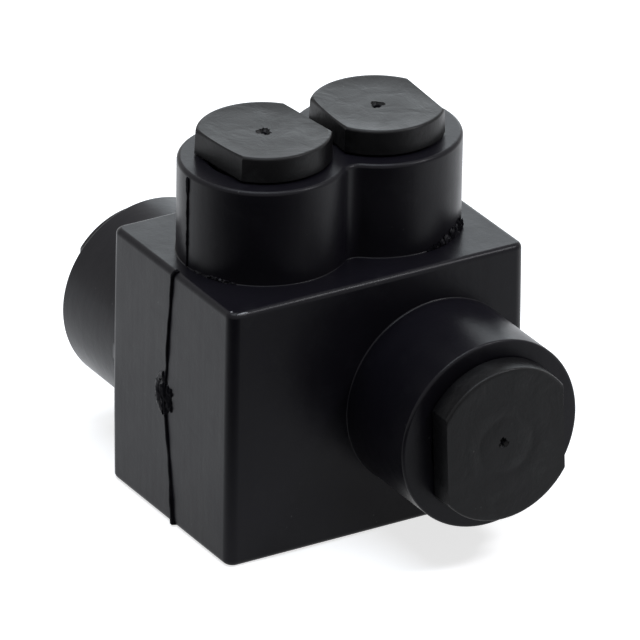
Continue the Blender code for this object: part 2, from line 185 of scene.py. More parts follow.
class Bench:
    """The modelling tools that every piece is made with."""

    @staticmethod
    def clear() -> None:
        """Leave nothing selected and no object active."""
        bpy.ops.object.select_all(action="DESELECT")
        bpy.context.view_layer.objects.active = None

    @staticmethod
    def hold(piece: Piece) -> None:
        """Make one object the selected and active one.

        Args:
            piece: The object.
        """
        Bench.clear()
        piece.select_set(True)
        bpy.context.view_layer.objects.active = piece

    @staticmethod
    def name(piece: Piece, name: str) -> Piece:
        """Name an object and its mesh, and give the object back.

        Args:
            piece: The object.
            name: The name for both.

        Returns:
            The same object.
        """
        piece.name = name
        piece.data.name = name
        return piece

    @staticmethod
    def edit(piece: Piece) -> None:
        """Open an object in edit mode with nothing selected.

        Args:
            piece: The object.
        """
        Bench.hold(piece)
        bpy.ops.object.mode_set(mode="EDIT")
        bpy.ops.mesh.select_all(action="DESELECT")

    @staticmethod
    def close() -> None:
        """Go back to object mode."""
        bpy.ops.object.mode_set(mode="OBJECT")

    @staticmethod
    def tidy_mesh() -> None:
        """In edit mode, merge doubles and turn every face outward."""
        bpy.ops.mesh.select_all(action="SELECT")
        bpy.ops.mesh.remove_doubles(threshold=MERGE_REACH)
        bpy.ops.mesh.normals_make_consistent(inside=False)

    @staticmethod
    def seal() -> None:
        """Tidy the mesh in edit mode and go back to object mode."""
        Bench.tidy_mesh()
        Bench.close()

    @staticmethod
    def pick(piece: Piece, kind: Element, test: Callable[..., bool]) -> None:
        """Select elements of the mesh in edit mode by their place or normal.

        Args:
            piece: The object in edit mode.
            kind: What is selected.
            test: Says of an element whether it is selected.
        """
        bpy.ops.mesh.select_mode(type=kind.name)
        bpy.ops.mesh.select_all(action="DESELECT")
        mesh = bmesh.from_edit_mesh(piece.data)
        for element in filter(test, getattr(mesh, kind.value)):
            element.select_set(True)
        mesh.select_flush_mode()
        bmesh.update_edit_mesh(piece.data)

    @staticmethod
    def place(piece: Piece, frame_matrix: Optional[Matrix] = None) -> None:
        """Put an object's place, turn and size into its mesh.

        Args:
            piece: The object.
            frame_matrix: A frame to carry it to first, or nothing.
        """
        if frame_matrix is not None:
            piece.matrix_world = frame_matrix @ piece.matrix_world
            bpy.context.view_layer.update()
        Bench.hold(piece)
        bpy.ops.object.transform_apply(location=True, rotation=True, scale=True)

    @staticmethod
    def modifier(piece: Piece, kind: str, **settings: object) -> None:
        """Add a modifier, set it up and apply it.

        Args:
            piece: The object.
            kind: The modifier's type, such as "BEVEL".
            **settings: Its settings by name.
        """
        Bench.hold(piece)
        added = piece.modifiers.new(kind.lower(), kind)
        for key, value in settings.items():
            setattr(added, key, value)
        bpy.ops.object.modifier_apply(modifier=added.name)

    @staticmethod
    def combine(piece: Piece, other: Piece, how: Blend) -> None:
        """Join or cut one solid with another, which is used up."""
        Bench.modifier(piece, "BOOLEAN", operation=how.value, solver="EXACT", object=other)
        bpy.data.objects.remove(other, do_unlink=True)

    @staticmethod
    def gather(piece: Piece, others: Sequence[Piece]) -> None:
        """Make loose pieces of the same moulding part of one object.

        Args:
            piece: The object that takes them in.
            others: The loose pieces.
        """
        Bench.hold(piece)
        for other in others:
            other.select_set(True)
        bpy.ops.object.join()

    @staticmethod
    def box(name: str, size: Point, centre: Point) -> Piece:
        """A block of a given size about a centre.

        Args:
            name: Name of the object.
            size: Its three sides.
            centre: Its middle.

        Returns:
            The object, with its size in its mesh.
        """
        Bench.clear()
        bpy.ops.mesh.primitive_cube_add(size=1.0, location=centre, scale=size)
        piece = Bench.name(bpy.context.object, name)
        Bench.place(piece)
        return piece

    @staticmethod
    def lump(name: str, detail: int, size: Point, centre: Point = (0.0, 0.0, 0.0)) -> Piece:
        """A ball of a given detail, drawn out to a given size about a centre.

        Args:
            name: Name of the object.
            detail: How many times its faces are divided.
            size: Its three diameters.
            centre: Its middle.

        Returns:
            The object, with its size in its mesh.
        """
        Bench.clear()
        bpy.ops.mesh.primitive_ico_sphere_add(
            subdivisions=detail, radius=0.5, location=centre, scale=size
        )
        piece = Bench.name(bpy.context.object, name)
        Bench.place(piece)
        return piece

    @staticmethod
    def roughen(piece: Piece, offset: float, seed: int) -> None:
        """Move each vertex of an object its own way by up to an offset.

        Args:
            piece: The object.
            offset: How far a vertex moves at most.
            seed: Seed of the moves.
        """
        Bench.edit(piece)
        bpy.ops.mesh.select_all(action="SELECT")
        bpy.ops.transform.vertex_random(offset=offset, uniform=0.0, normal=0.0, seed=seed)
        Bench.close()

    @staticmethod
    def extrude(step: Sequence[float]) -> None:
        """Draw out what is selected by a step."""
        bpy.ops.mesh.extrude_region_move(TRANSFORM_OT_translate={"value": step})

    @staticmethod
    def step_in(profile: Profile) -> None:
        """Inset and raise the selected face from point to point of a profile."""
        for here, there in zip(profile, profile[1:]):
            bpy.ops.mesh.inset(thickness=here[0] - there[0], depth=there[1] - here[1])

    @staticmethod
    def drawn(name: str, points: Sequence[Point]) -> Piece:
        """A line of edges drawn out from point to point, left selected in edit mode.

        Args:
            name: Name of the object.
            points: The points, first to last.

        Returns:
            The object, still in edit mode.
        """
        Bench.clear()
        bpy.ops.mesh.primitive_plane_add(size=0.001, location=(0.0, 0.0, 0.0))
        piece = Bench.name(bpy.context.object, name)
        Bench.edit(piece)
        bpy.ops.mesh.select_mode(type="VERT")
        bpy.ops.mesh.select_all(action="SELECT")
        bpy.ops.mesh.merge(type="CENTER")
        bpy.ops.transform.translate(value=points[0])
        for here, there in zip(points, points[1:]):
            Bench.extrude(tuple(b - a for a, b in zip(here, there)))
        bpy.ops.mesh.select_all(action="SELECT")
        return piece

    @staticmethod
    def turned(
        name: str, profile: Profile, place: Optional[Matrix] = None, sides: int = 96
    ) -> Piece:
        """A solid of revolution, spun from its profile.

        Args:
            name: Name of the object.
            profile: Points (radius, height) from the foot of the axis to its top.
            place: Frame whose +Z is the axis, or nothing for the upright one at the origin.
            sides: Number of steps round the axis.

        Returns:
            The closed solid, in place.
        """
        piece = Bench.drawn(name, [(radius, 0.0, height) for radius, height in profile])
        bpy.ops.mesh.spin(
            steps=sides,
            angle=2 * math.pi,
            use_auto_merge=True,
            center=(0.0, 0.0, 0.0),
            axis=(0.0, 0.0, 1.0),
        )
        Bench.seal()
        Bench.place(piece, place)
        return piece

    @staticmethod
    def hole(name: str, inner: Profile, chamfer: float, top: float, place: Matrix) -> Piece:
        """Cutter for a round hole with a chamfered mouth.

        Args:
            name: Name of the cutter.
            inner: Its profile from the axis at its inner end to the start of its last wall.
            chamfer: Size of the mouth's chamfer.
            top: Height of the mouth.
            place: Frame whose +Z points out of the mouth.

        Returns:
            The cutter.
        """
        radius, above = inner[-1][0], top + SIZES.overrun
        wide = radius + chamfer
        mouth = [(radius, top - chamfer), (wide, top), (wide, above), (0.0, above)]
        return Bench.turned(name, inner + mouth, place)

    @staticmethod
    def shave(point: Point, normal: Point) -> None:
        """Cut the mesh in edit mode at a plane and close the cut.

        Args:
            point: A point on the plane.
            normal: The way that the waste lies.
        """
        bpy.ops.mesh.select_all(action="SELECT")
        bpy.ops.mesh.bisect(
            plane_co=point,
            plane_no=normal,
            use_fill=True,
            clear_outer=True,
            threshold=MERGE_REACH,
        )

    @staticmethod
    def dress(piece: Piece, material: bpy.types.Material) -> None:
        """Give an object one material and no other."""
        piece.data.materials.clear()
        piece.data.materials.append(material)

    @staticmethod
    def finish(piece: Piece, angle: float = 32.0) -> None:
        """Shade smoothly up to an angle, with normals that keep flat faces flat.

        Args:
            piece: The object.
            angle: The widest angle in degrees that is still smooth.
        """
        Bench.hold(piece)
        bpy.ops.object.shade_smooth_by_angle(angle=math.radians(angle))
        Bench.modifier(piece, "WEIGHTED_NORMAL", keep_sharp=True, weight=50)


def arc(
    centre: tuple[float, float], radius: float, start: float, end: float, steps: int = 5
) -> Profile:
    """Points of an arc in a profile.

    Args:
        centre: (radius, height) of the arc's middle.
        radius: Radius of the arc.
        start: First angle in degrees.
        end: Last angle in degrees.
        steps: Number of chords.

    Returns:
        The points, first to last.
    """
    angles = [math.radians(start + (end - start) * k / steps) for k in range(steps + 1)]
    return [(centre[0] + radius * math.cos(a), centre[1] + radius * math.sin(a)) for a in angles]


def climb(edge: bmesh.types.BMEdge) -> float:
    """How far an edge rises from end to end."""
    return abs(edge.verts[0].co.z - edge.verts[1].co.z)


class Nodes:
    """Short hand for building a material's or a group's nodes."""

    def __init__(self, tree: bpy.types.NodeTree) -> None:
        """Work on one node tree."""
        self.tree = tree

    def feed(self, slot: Socket, value: object) -> None:
        """Give an input a value, or join it to a socket.

        Args:
            slot: The input.
            value: A number, a vector, a colour without alpha, or an output socket.
        """
        if isinstance(value, Socket):
            self.tree.links.new(value, slot)
        else:
            slot.default_value = (*value, 1.0) if slot.type == "RGBA" else value

    def fill(self, node: bpy.types.Node, **values: object) -> bpy.types.Node:
        """Fill in a node and give it back.

        Args:
            node: The node.
            **values: Input values or sockets by the inputs' names, with _ for spaces, and
                properties by theirs.

        Returns:
            The node.
        """
        for key, value in values.items():
            label = key.replace("_", " ")
            if label in node.inputs:
                self.feed(node.inputs[label], value)
            else:
                setattr(node, key, value)
        return node

    def add(self, kind: str, **values: object) -> bpy.types.Node:
        """Add a node by its type, without its "ShaderNode" start, and fill it in."""
        return self.fill(self.tree.nodes.new("ShaderNode" + kind), **values)

    def math(self, operation: str, first: object, second: object) -> Socket:
        """Combine two sockets or numbers by a Math node's operation.

        Args:
            operation: The node's operation, such as "ADD".
            first: A socket or a number.
            second: A socket or a number.

        Returns:
            The result's socket.
        """
        node = self.add("Math", operation=operation)
        for slot, value in zip(node.inputs, (first, second)):
            self.feed(slot, value)
        return node.outputs[0]

    def times(self, first: object, second: object) -> Socket:
        """Multiply two sockets or numbers."""
        return self.math("MULTIPLY", first, second)

    def noise(self, vector: Socket, scale: object, **values: float) -> Socket:
        """The value of a noise texture, read at a vector."""
        return self.add("TexNoise", Vector=vector, Scale=scale, **values).outputs["Fac"]

    def stretched(self, vector: Socket, scale: Point) -> Socket:
        """A vector with each part scaled by itself."""
        return self.add("Mapping", Vector=vector, Scale=scale).outputs["Vector"]

    def bump(self, strength: float, height: Socket) -> Socket:
        """A normal tilted by a height."""
        node = self.add("Bump", Strength=strength, Distance=BUMP_STEP, Height=height)
        return node.outputs["Normal"]

    def spread(
        self, value: Socket, low: float, high: float, to_low: float = 0.0, to_high: float = 1.0
    ) -> Socket:
        """Map a value from one range to another, clamped."""
        ranges = {"From_Min": low, "From_Max": high, "To_Min": to_low, "To_Max": to_high}
        return self.add("MapRange", Value=value, **ranges).outputs["Result"]

    def mix(self, mask: Socket, plain: object, marked: object) -> Socket:
        """Mix two colours by a mask.

        Args:
            mask: The mask, 0 for the plain colour.
            plain: A colour or a colour socket.
            marked: A colour or a colour socket.

        Returns:
            The mixed colour's socket.
        """
        node = self.add("Mix", data_type="RGBA", Factor=mask)
        colours = [slot for slot in node.inputs if slot.type == "RGBA"]
        for slot, value in zip(colours, (plain, marked)):
            self.feed(slot, value)
        return next(slot for slot in node.outputs if slot.type == "RGBA")


class EffectGroup:
    """A shader node group with named inputs and outputs, built once."""

    def __init__(self, name: str, inputs: dict[str, float], outputs: Sequence[str]) -> None:
        """Make the group's sockets.

        Args:
            name: Name of the group.
            inputs: Each input's name and value, besides the Vector that it reads.
            outputs: Each output's name.
        """
        self.tree = bpy.data.node_groups.new(name, "ShaderNodeTree")
        sockets = self.tree.interface
        sockets.new_socket("Vector", in_out="INPUT", socket_type="NodeSocketVector")
        for label, value in inputs.items():
            socket = sockets.new_socket(label, in_out="INPUT", socket_type="NodeSocketFloat")
            socket.default_value = value
        for label in outputs:
            sockets.new_socket(label, in_out="OUTPUT", socket_type="NodeSocketFloat")
        self.nodes = Nodes(self.tree)
        self.entry = self.tree.nodes.new("NodeGroupInput")
        self.exit = self.tree.nodes.new("NodeGroupOutput")

    def use(self, nodes: Nodes, vector: Socket, **values: float) -> bpy.types.Node:
        """Place the group in a material.

        Args:
            nodes: The material's nodes.
            vector: The coordinates that it reads.
            **values: Its input values, by name with _ for spaces.

        Returns:
            The group node.
        """
        node = nodes.add("Group", node_tree=self.tree)
        return nodes.fill(node, Vector=vector, **values)


def build_mould_skin() -> EffectGroup:
    """The skin that a spark-eroded mould leaves on plastic: fine pits, flow and rubbed patches.

    Returns:
        The group, with a height, a flow value and a rub mask.
    """
    group = EffectGroup(
        "mould_skin",
        {
            "Grain Scale": 4200.0, "Grain Depth": 1.0, "Flow Scale": 90.0, "Swell Depth": 0.0,
            "Drag Depth": 0.0,
        },
        ("Height", "Flow", "Rub"),
    )
    n, entry = group.nodes, group.entry.outputs
    where, grain, stream = entry["Vector"], entry["Grain Scale"], entry["Flow Scale"]
    pits = n.noise(where, grain, Detail=3.0, Roughness=0.6)
    ripple = n.noise(where, n.times(grain, 0.11), Detail=2.0, Roughness=0.5)
    swell = n.noise(where, 300.0, Detail=3.0, Roughness=0.55, Distortion=0.6)
    drag = n.noise(n.stretched(where, (420.0, 420.0, 40.0)), 1.0, Detail=2.0, Roughness=0.6)
    flow = n.noise(where, stream, Detail=4.0, Roughness=0.62, Distortion=0.9)
    rub = n.noise(where, n.times(stream, 3.1), Detail=6.0, Roughness=0.7)
    fine = n.math("ADD", n.times(pits, entry["Grain Depth"]), n.times(ripple, 1.4))
    broad = n.math("ADD", n.times(swell, entry["Swell Depth"]), n.times(drag, entry["Drag Depth"]))
    n.fill(
        group.exit,
        Height=n.math("ADD", fine, broad),
        Flow=n.spread(flow, 0.32, 0.68),
        Rub=n.spread(rub, 0.56, 0.72),
    )
    return group


def build_dust() -> EffectGroup:
    """Sparse pale specks, as handling leaves on black plastic.

    Returns:
        The group, with one mask.
    """
    group = EffectGroup("handling_dust", {"Speck Scale": 900.0, "Amount": 0.5}, ("Mask",))
    n, entry = group.nodes, group.entry.outputs
    where = entry["Vector"]
    cells = n.add("TexVoronoi", Vector=where, Scale=entry["Speck Scale"], Randomness=1.0)
    dots = n.spread(cells.outputs["Distance"], 0.05, 0.13, 1.0, 0.0)
    patches = n.spread(n.noise(where, 260.0, Detail=2.0), 0.60, 0.70)
    n.fill(group.exit, Mask=n.times(n.times(dots, patches), entry["Amount"]))
    return group


class Effects:
    """The shared node groups, each built once."""

    def __init__(self) -> None:
        """Build them."""
        self.skin = build_mould_skin()
        self.dust = build_dust()


def new_material(name: str) -> tuple[bpy.types.Material, Nodes, bpy.types.Node]:
    """A new material, with its nodes and its main shader.

    Args:
        name: Name of the material.

    Returns:
        The material, its nodes, and its Principled BSDF.
    """
    material = bpy.data.materials.new(name)
    material.use_nodes = True
    return material, Nodes(material.node_tree), material.node_tree.nodes["Principled BSDF"]


@dataclass(frozen=True)
class MouldedPlastic:
    """Near-black moulded plastic with a satin skin.

    Attributes:
        name: Name of the material.
        colour: Its colour.
        wear_and_highlight: The colour where it is rubbed; in the painted highlight plastic, the
            paler part of the painted highlight.
        sheen: Roughness where the mould polished it, and where it left it dull.
        grain: Depth of the mould's pits.
        specular: Strength of its reflection.
        swell: Depth of the broad unevenness that shrinking left.
        drag: Depth of the upright drag marks that the mould left.
        dust: Amount of pale specks.
        speck: Colour of the specks.
        relief: Strength of the bump that the pits and the marks make.
    """

    name: str
    colour: Colour
    wear_and_highlight: Colour
    sheen: tuple[float, float]
    grain: float
    specular: float
    swell: float = 0.0
    drag: float = 0.0
    dust: float = 0.0
    speck: Colour = (0.35, 0.35, 0.34)
    relief: float = 0.35

    def build(self, effects: Effects) -> bpy.types.Material:
        """Make the material.

        Args:
            effects: The shared node groups.

        Returns:
            The material.
        """
        material, n, shader = new_material(self.name)
        where = n.add("TexCoord").outputs["Object"]
        skin = effects.skin.use(
            n, where, Grain_Depth=self.grain, Swell_Depth=self.swell, Drag_Depth=self.drag
        ).outputs
        dust = effects.dust.use(n, where, Amount=self.dust).outputs
        body = n.mix(skin["Rub"], self.colour, self.wear_and_highlight)
        n.fill(
            shader,
            Base_Color=n.mix(dust["Mask"], body, self.speck),
            Roughness=n.spread(skin["Flow"], 0.0, 1.0, *self.sheen),
            Normal=n.bump(self.relief, skin["Height"]),
            Specular_IOR_Level=self.specular,
        )
        return material


@dataclass(frozen=True)
class CutMetal:
    """Aluminium or plated metal left by a saw, a drill or a lathe.

    Attributes:
        name: Name of the material.
        colour: Its colour.
        roughness: Its middle roughness.
        line_scale: Scale of the tool lines across and along.
        dulled: How much of the colour is left where it is rubbed.
        smoother: How far its roughness falls below the middle one.
        rougher: How far it rises above it.
        grain: Depth of its pits.
        relief: Strength of the bump that the tool lines make.
    """

    name: str
    colour: Colour
    roughness: float
    line_scale: Point
    dulled: float = 0.72
    smoother: float = 0.1
    rougher: float = 0.12
    grain: float = 0.4
    relief: float = 0.5

    def build(self, effects: Effects) -> bpy.types.Material:
        """Make the material.

        Args:
            effects: The shared node groups.

        Returns:
            The material.
        """
        material, n, shader = new_material(self.name)
        where = n.add("TexCoord").outputs["Object"]
        lines = n.noise(n.stretched(where, self.line_scale), 1.0, Detail=4.0, Roughness=0.65)
        rub = effects.skin.use(n, where, Grain_Depth=self.grain).outputs["Rub"]
        sheen = (self.roughness - self.smoother, self.roughness + self.rougher)
        n.fill(
            shader,
            Base_Color=n.mix(rub, self.colour, tuple(self.dulled * c for c in self.colour)),
            Roughness=n.spread(lines, 0.3, 0.7, *sheen),
            Normal=n.bump(self.relief, lines),
            Metallic=1.0,
        )
        return material


class Finishes:
    """Every finish of the connector."""

    def __init__(self) -> None:
        """Build the materials."""
        effects = Effects()
        self.housing = MouldedPlastic(
            "black_housing", (0.0050, 0.0045, 0.0069), (0.0084, 0.0080, 0.0105),
            sheen=(0.29, 0.37), grain=1.2, specular=0.14, swell=3.0, drag=4.0, dust=0.12,
        ).build(effects)
        self.torn = MouldedPlastic(
            "torn_plastic", (0.0030, 0.0028, 0.0040), (0.0110, 0.0108, 0.0125),
            sheen=(0.70, 0.90), grain=4.0, specular=0.04,
        ).build(effects)
        # Pale grey plastic for the lumps on the front top edge and its corner: a painted highlight.
        self.painted_highlight = MouldedPlastic(
            "scuffed_plastic", (0.24, 0.24, 0.25), (0.34, 0.34, 0.35),
            sheen=(0.45, 0.60), grain=2.0, specular=0.30,
        ).build(effects)
        self.plug = MouldedPlastic(
            "black_plug", (0.0030, 0.0029, 0.0034), (0.0115, 0.0118, 0.0125),
            sheen=(0.32, 0.46), grain=1.5, specular=0.175, swell=13.0, dust=0.12,
        ).build(effects)
        self.aluminium = CutMetal(
            "sawn_aluminium", (0.78, 0.79, 0.80), 0.36, (600.0, 5200.0, 600.0)
        ).build(effects)
        self.screw = CutMetal(
            "turned_screw", (0.66, 0.67, 0.68), 0.30, (500.0, 500.0, 9000.0)
        ).build(effects)


@dataclass(frozen=True)
class TornFlash:
    """Torn flash that clings round part of a screw barrel's root.

    Attributes:
        name: Name of the strip.
        side: The barrel.
        start: First angle round the barrel in degrees, 0 towards +X.
        end: Last angle.
        height: Height of its tallest shreds.
        seed: Seed of its uneven edge.
        per_degree: How many shreds stand in a degree.
        thickness: Least and most thickness of a shred.
        width: Least and most width of a shred.
        jitter: How far a shred may stray from its place, in parts of the way to the next.
        sunk: How far a shred goes into the barrel and the block.
        proud: How far a low shred stands off the barrel.
        splay: How far a tall one stands off further, in parts of the height.
        least: Height of the lowest shreds, in parts of the tallest.
        middle: Where the middle of a shred lies, in parts of its height.
        tear: How far its surface is torn.
        lean: How far it leans along the barrel, in radians.
    """

    name: str
    side: Side
    start: float
    end: float
    height: float
    seed: int
    per_degree: float = 0.9
    thickness: tuple[float, float] = (0.00016, 0.00034)
    width: tuple[float, float] = (0.0003, 0.0009)
    jitter: float = 0.9
    sunk: float = 0.0001
    proud: float = 0.00005
    splay: float = 0.06
    least: float = 0.2
    middle: float = 0.4
    tear: float = 0.00014
    lean: float = 0.5

    def build(self) -> Piece:
        """Model the strip, shred by shred.

        Returns:
            The strip, in place.
        """
        rng = random.Random(self.seed)
        span = self.end - self.start
        count = int(abs(span) * self.per_degree)
        shreds = [self.shred(rng, span, k, count) for k in range(count)]
        strip = shreds[0]
        Bench.gather(strip, shreds[1:])
        Bench.finish(strip, angle=40.0)
        return strip

    def shred(self, rng: random.Random, span: float, k: int, count: int) -> Piece:
        """Model one shred.

        Args:
            rng: The strip's random numbers.
            span: Degrees from the strip's start to its end.
            k: The shred's number.
            count: How many shreds the strip has.

        Returns:
            The shred, in place.
        """
        angle = math.radians(self.start + span * (k + rng.uniform(0.0, self.jitter)) / count)
        off = self.proud + self.splay * self.height
        reach = SIZES.screw_barrel_radius + rng.uniform(-self.sunk, off)
        arch = math.sin(math.pi * (k + 0.5) / count) ** 0.5
        tall = self.height * rng.uniform(self.least, 1.0) * arch
        wide = rng.uniform(*self.width)
        rise = tall * self.middle
        middle = Vector((reach * math.cos(angle), reach * math.sin(angle), rise))
        size = (rng.uniform(*self.thickness), wide, tall + 2 * self.sunk)
        shred = Bench.lump(self.name, 2, size)
        Bench.roughen(shred, self.tear, self.seed + k)
        lean = Matrix.Rotation(rng.uniform(-self.lean, self.lean), 4, "X")
        turn = Matrix.Translation(middle) @ Matrix.Rotation(angle, 4, "Z") @ lean
        Bench.place(shred, SIZES.screw_frame(self.side, SIZES.height) @ turn)
        return shred


@dataclass
class HousingMoulding:
    """The one-piece insulating moulding with its four barrels and its moulding marks.

    Attributes:
        corner: Radius of the block's upright corners.
        edge: Radius of its level edges.
        rim: Radius of the screw barrels' rims.
        root: Radius of the fillet round their foot.
        port_rim: Radius of the conductor barrels' rims.
        port_root: Radius of the fillet round their foot.
        valley: Radius of the valleys between the screw barrels.
        bow: How far the block's sides bow out at the middle.
        bow_rows: How many rows the bow is made of.
        sides: Steps round a conductor barrel.
        flash_proud: How far the flash stands off an end face.
        flash_width: Its width at its root.
        flash_sunk: How far a fin goes into its face.
        flash_taper: Width of its outer edge, in parts of its root.
        flash_rows: How many cuts its edge has.
        flash_waves: Share, pace and turn of the waves that wear it.
        flash_wear: How deep the waves go, in parts of how proud it is.
        flash_nick: How deep the nicks go, likewise.
        barrel_flash_proud: How far the flash stands off a screw barrel.
        barrel_flash_width: Its width at its root.
        barrel_nub_reach: Length of its wide end, under the rim.
        barrel_nub_width: How many times wider it is there.
        seam_foot: Height at which the flash of an end face starts.
        seam_bow: Share of the bow that its face is put out by.
        seam_heavy: How many times wider it is below the middle.
        nub_reach: Length of the nub at each of its ends.
        nub_width: How many times wider it is there.
        tuck_limit: How far up the rounded edge it follows, in parts of the radius.
        seam_drift: How far the parting line strays from the middle.
        seam_path: Its course: parts of the height, and parts of that drift.
        gate_size: Size of the gate's scar.
        gate_aside: How far the scar lies off the middle of the parting line.
        gate_tear: How far its surface is torn.
        lip_radius: Radius of the lip round the scar.
        lip_thickness: Radius of the lip itself.
        lip_stretch: How many times taller than wide the lip is.
        lip_aside: How far it lies behind the parting line.
        lip_cut: How far behind its middle it is cut off.
        lip_tear: How far its surface is torn.
        highlight_lump_tear: How far the surface of a painted highlight lump is torn.
    """

    corner: float = 0.0013
    edge: float = 0.0007
    rim: float = 0.0005
    root: float = 0.00012
    port_rim: float = 0.00034
    port_root: float = 0.0003
    valley: float = 0.0019
    bow: float = 0.0001
    bow_rows: int = 8
    sides: int = 128
    flash_proud: float = 0.00042
    flash_width: float = 0.00040
    flash_sunk: float = 0.0003
    flash_taper: float = 0.45
    flash_rows: int = 64
    flash_waves: tuple[Point, ...] = ((0.3, 0.31, 1), (0.2, 0.83, 2))
    flash_wear: float = 0.42
    flash_nick: float = 0.10
    barrel_flash_proud: float = 0.00022
    barrel_flash_width: float = 0.00042
    barrel_nub_reach: float = 0.0018
    barrel_nub_width: float = 2.0
    seam_foot: float = 0.0002
    seam_bow: float = 0.6
    seam_heavy: float = 1.35
    nub_reach: float = 0.0009
    nub_width: float = 1.8
    tuck_limit: float = 0.93
    seam_drift: float = 0.0010
    seam_path: tuple[tuple[float, float], ...] = (
        (0.0, -1.0), (0.17, -0.5), (0.32, 0.2), (0.49, 1.0), (0.60, 0.55), (0.72, 0.35), (1.0, -0.5)
    )
    gate_size: Point = (0.0009, 0.0034, 0.0048)
    gate_aside: float = 0.0002
    gate_tear: float = 0.0009
    lip_radius: float = 0.00165
    lip_thickness: float = 0.00034
    lip_stretch: float = 1.42
    lip_aside: float = 0.0001
    lip_cut: float = 0.0003
    lip_tear: float = 0.00011
    highlight_lump_tear: float = 0.00003

    def build(self, finishes: Finishes) -> Piece:
        """Model the housing.

        Args:
            finishes: The connector's finishes.

        Returns:
            The dressed housing.
        """
        housing = self.block()
        Bench.combine(housing, self.screw_tower(), Blend.JOIN)
        for side in Side:
            Bench.combine(housing, self.port_barrel(side), Blend.JOIN)
        cavity = tuple(s - 2 * SIZES.wall for s in (SIZES.width, SIZES.depth, SIZES.height))
        hollow = Bench.box("cavity", cavity, (0.0, 0.0, SIZES.port_z))
        Bench.combine(housing, hollow, Blend.CUT)
        for side in Side:
            Bench.combine(housing, self.screw_well(side), Blend.CUT)
            Bench.combine(housing, self.port_well(side), Blend.CUT)
        Bench.finish(housing)
        Bench.dress(housing, finishes.housing)
        smooth = [
            self.gate_lip(),
            TornFlash("torn_root_left", Side.LEFT, -172.0, -138.0, 0.0004, 33).build(),
            TornFlash("torn_root_right", Side.RIGHT, -76.0, -35.0, 0.0018, 21).build(),
        ]
        torn = [
            self.seam("seam_left", Side.LEFT, 0.0001, 3),
            self.seam("seam_right", Side.RIGHT, -0.0011, 11),
            self.barrel_seam("barrel_seam_left", Side.LEFT, 5),
            self.barrel_seam("barrel_seam_right", Side.RIGHT, 8),
            self.gate_scar(),
            TornFlash("torn_shreds_right", Side.RIGHT, -56.0, -33.0, 0.0021, 47).build(),
            TornFlash("torn_tail_right", Side.RIGHT, -84.0, -66.0, 0.0008, 29).build(),
        ]
        # Pale lumps on the front top edge and its corner, coloured as painted highlights.
        wear_and_highlight = [
            self.highlight_lump("edge_scuff", (-0.0177, -0.01303, 0.03164), (0.0014, 0.00026, 0.00020), 7),
            self.highlight_lump("corner_scuff", (-0.0187, -0.0123, 0.03176), (0.0003, 0.0003, 0.00016), 9),
        ]
        for marks, finish in (
            (smooth, finishes.housing), (torn, finishes.torn), (wear_and_highlight, finishes.painted_highlight)
        ):
            for mark in marks:
                Bench.dress(mark, finish)
        Bench.gather(housing, smooth + torn + wear_and_highlight)
        Bench.name(housing, "moulded_housing")
        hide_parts("insulating_housing")
        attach(housing, "housing")
        return housing

    def block(self) -> Piece:
        """The block, with sides that bow a little, rounded corners and rounded level edges.

        Returns:
            The solid block.
        """
        size = (SIZES.width, SIZES.depth, SIZES.height)
        block = Bench.box("housing", size, (0.0, 0.0, SIZES.port_z))
        Bench.edit(block)
        Bench.pick(block, Element.EDGE, lambda e: climb(e) > TOLERANCE)
        bpy.ops.mesh.subdivide(number_cuts=self.bow_rows - 1)
        for row in range(1, self.bow_rows):
            height = SIZES.height * row / self.bow_rows
            swell = 2 * self.bow * math.sin(math.pi * row / self.bow_rows)
            Bench.pick(block, Element.VERT, lambda v: abs(v.co.z - height) < TOLERANCE)
            bpy.ops.transform.resize(
                value=(1 + swell / size[0], 1 + swell / size[1], 1.0),
                center_override=(0.0, 0.0, height),
            )
        for offset, segments, least in ((self.corner, 8, TOLERANCE), (self.edge, 6, -1.0)):
            Bench.pick(block, Element.EDGE, lambda e: (
                climb(e) > least and e.calc_face_angle(0.0) > SHARP_ANGLE
            ))
            bpy.ops.mesh.bevel(offset=offset, segments=segments, profile=0.5)
        Bench.seal()
        return block

    def tower_outline(self, grow: float) -> list[Point]:
        """Figure-eight outline of the two screw barrels and the valleys between them.

        Args:
            grow: How far it stands outside the barrels' sides.

        Returns:
            The points, once round.
        """
        reach = SIZES.screw_barrel_radius + self.valley
        valley_y = math.sqrt(reach**2 - SIZES.lane_x**2)
        lean = math.degrees(math.acos(SIZES.lane_x / reach))
        barrel = SIZES.screw_barrel_radius + grow
        right = arc((SIZES.lane_x, 0.0), barrel, lean - 180, 180 - lean, 96)
        back = arc((0.0, valley_y), self.valley - grow, -lean, lean - 180, 14)
        half = right + back[1:-1]
        return [(x, y, 0.0) for x, y in half] + [(-x, -y, 0.0) for x, y in half]

    def screw_tower(self) -> Piece:
        """The two screw barrels as one solid, inset and raised to its fillet and its rim.

        Returns:
            The solid tower, on the block.
        """
        tower = Bench.drawn("screw_tower", self.tower_outline(self.root))
        bpy.ops.mesh.edge_face_add()
        Bench.extrude((0.0, 0.0, -SIZES.wall / 2))
        Bench.tidy_mesh()
        Bench.pick(tower, Element.FACE, lambda f: f.normal.z > 0.9)
        fillet = arc((self.root, self.root), self.root, 270, 180)
        rim = arc((-self.rim, SIZES.screw_barrel_height - self.rim), self.rim, 0, 90, 6)
        Bench.step_in(fillet)
        Bench.extrude((0.0, 0.0, rim[0][1] - fillet[-1][1]))
        Bench.step_in(rim)
        Bench.seal()
        Bench.place(tower, Matrix.Translation((0.0, 0.0, SIZES.height)))
        return tower

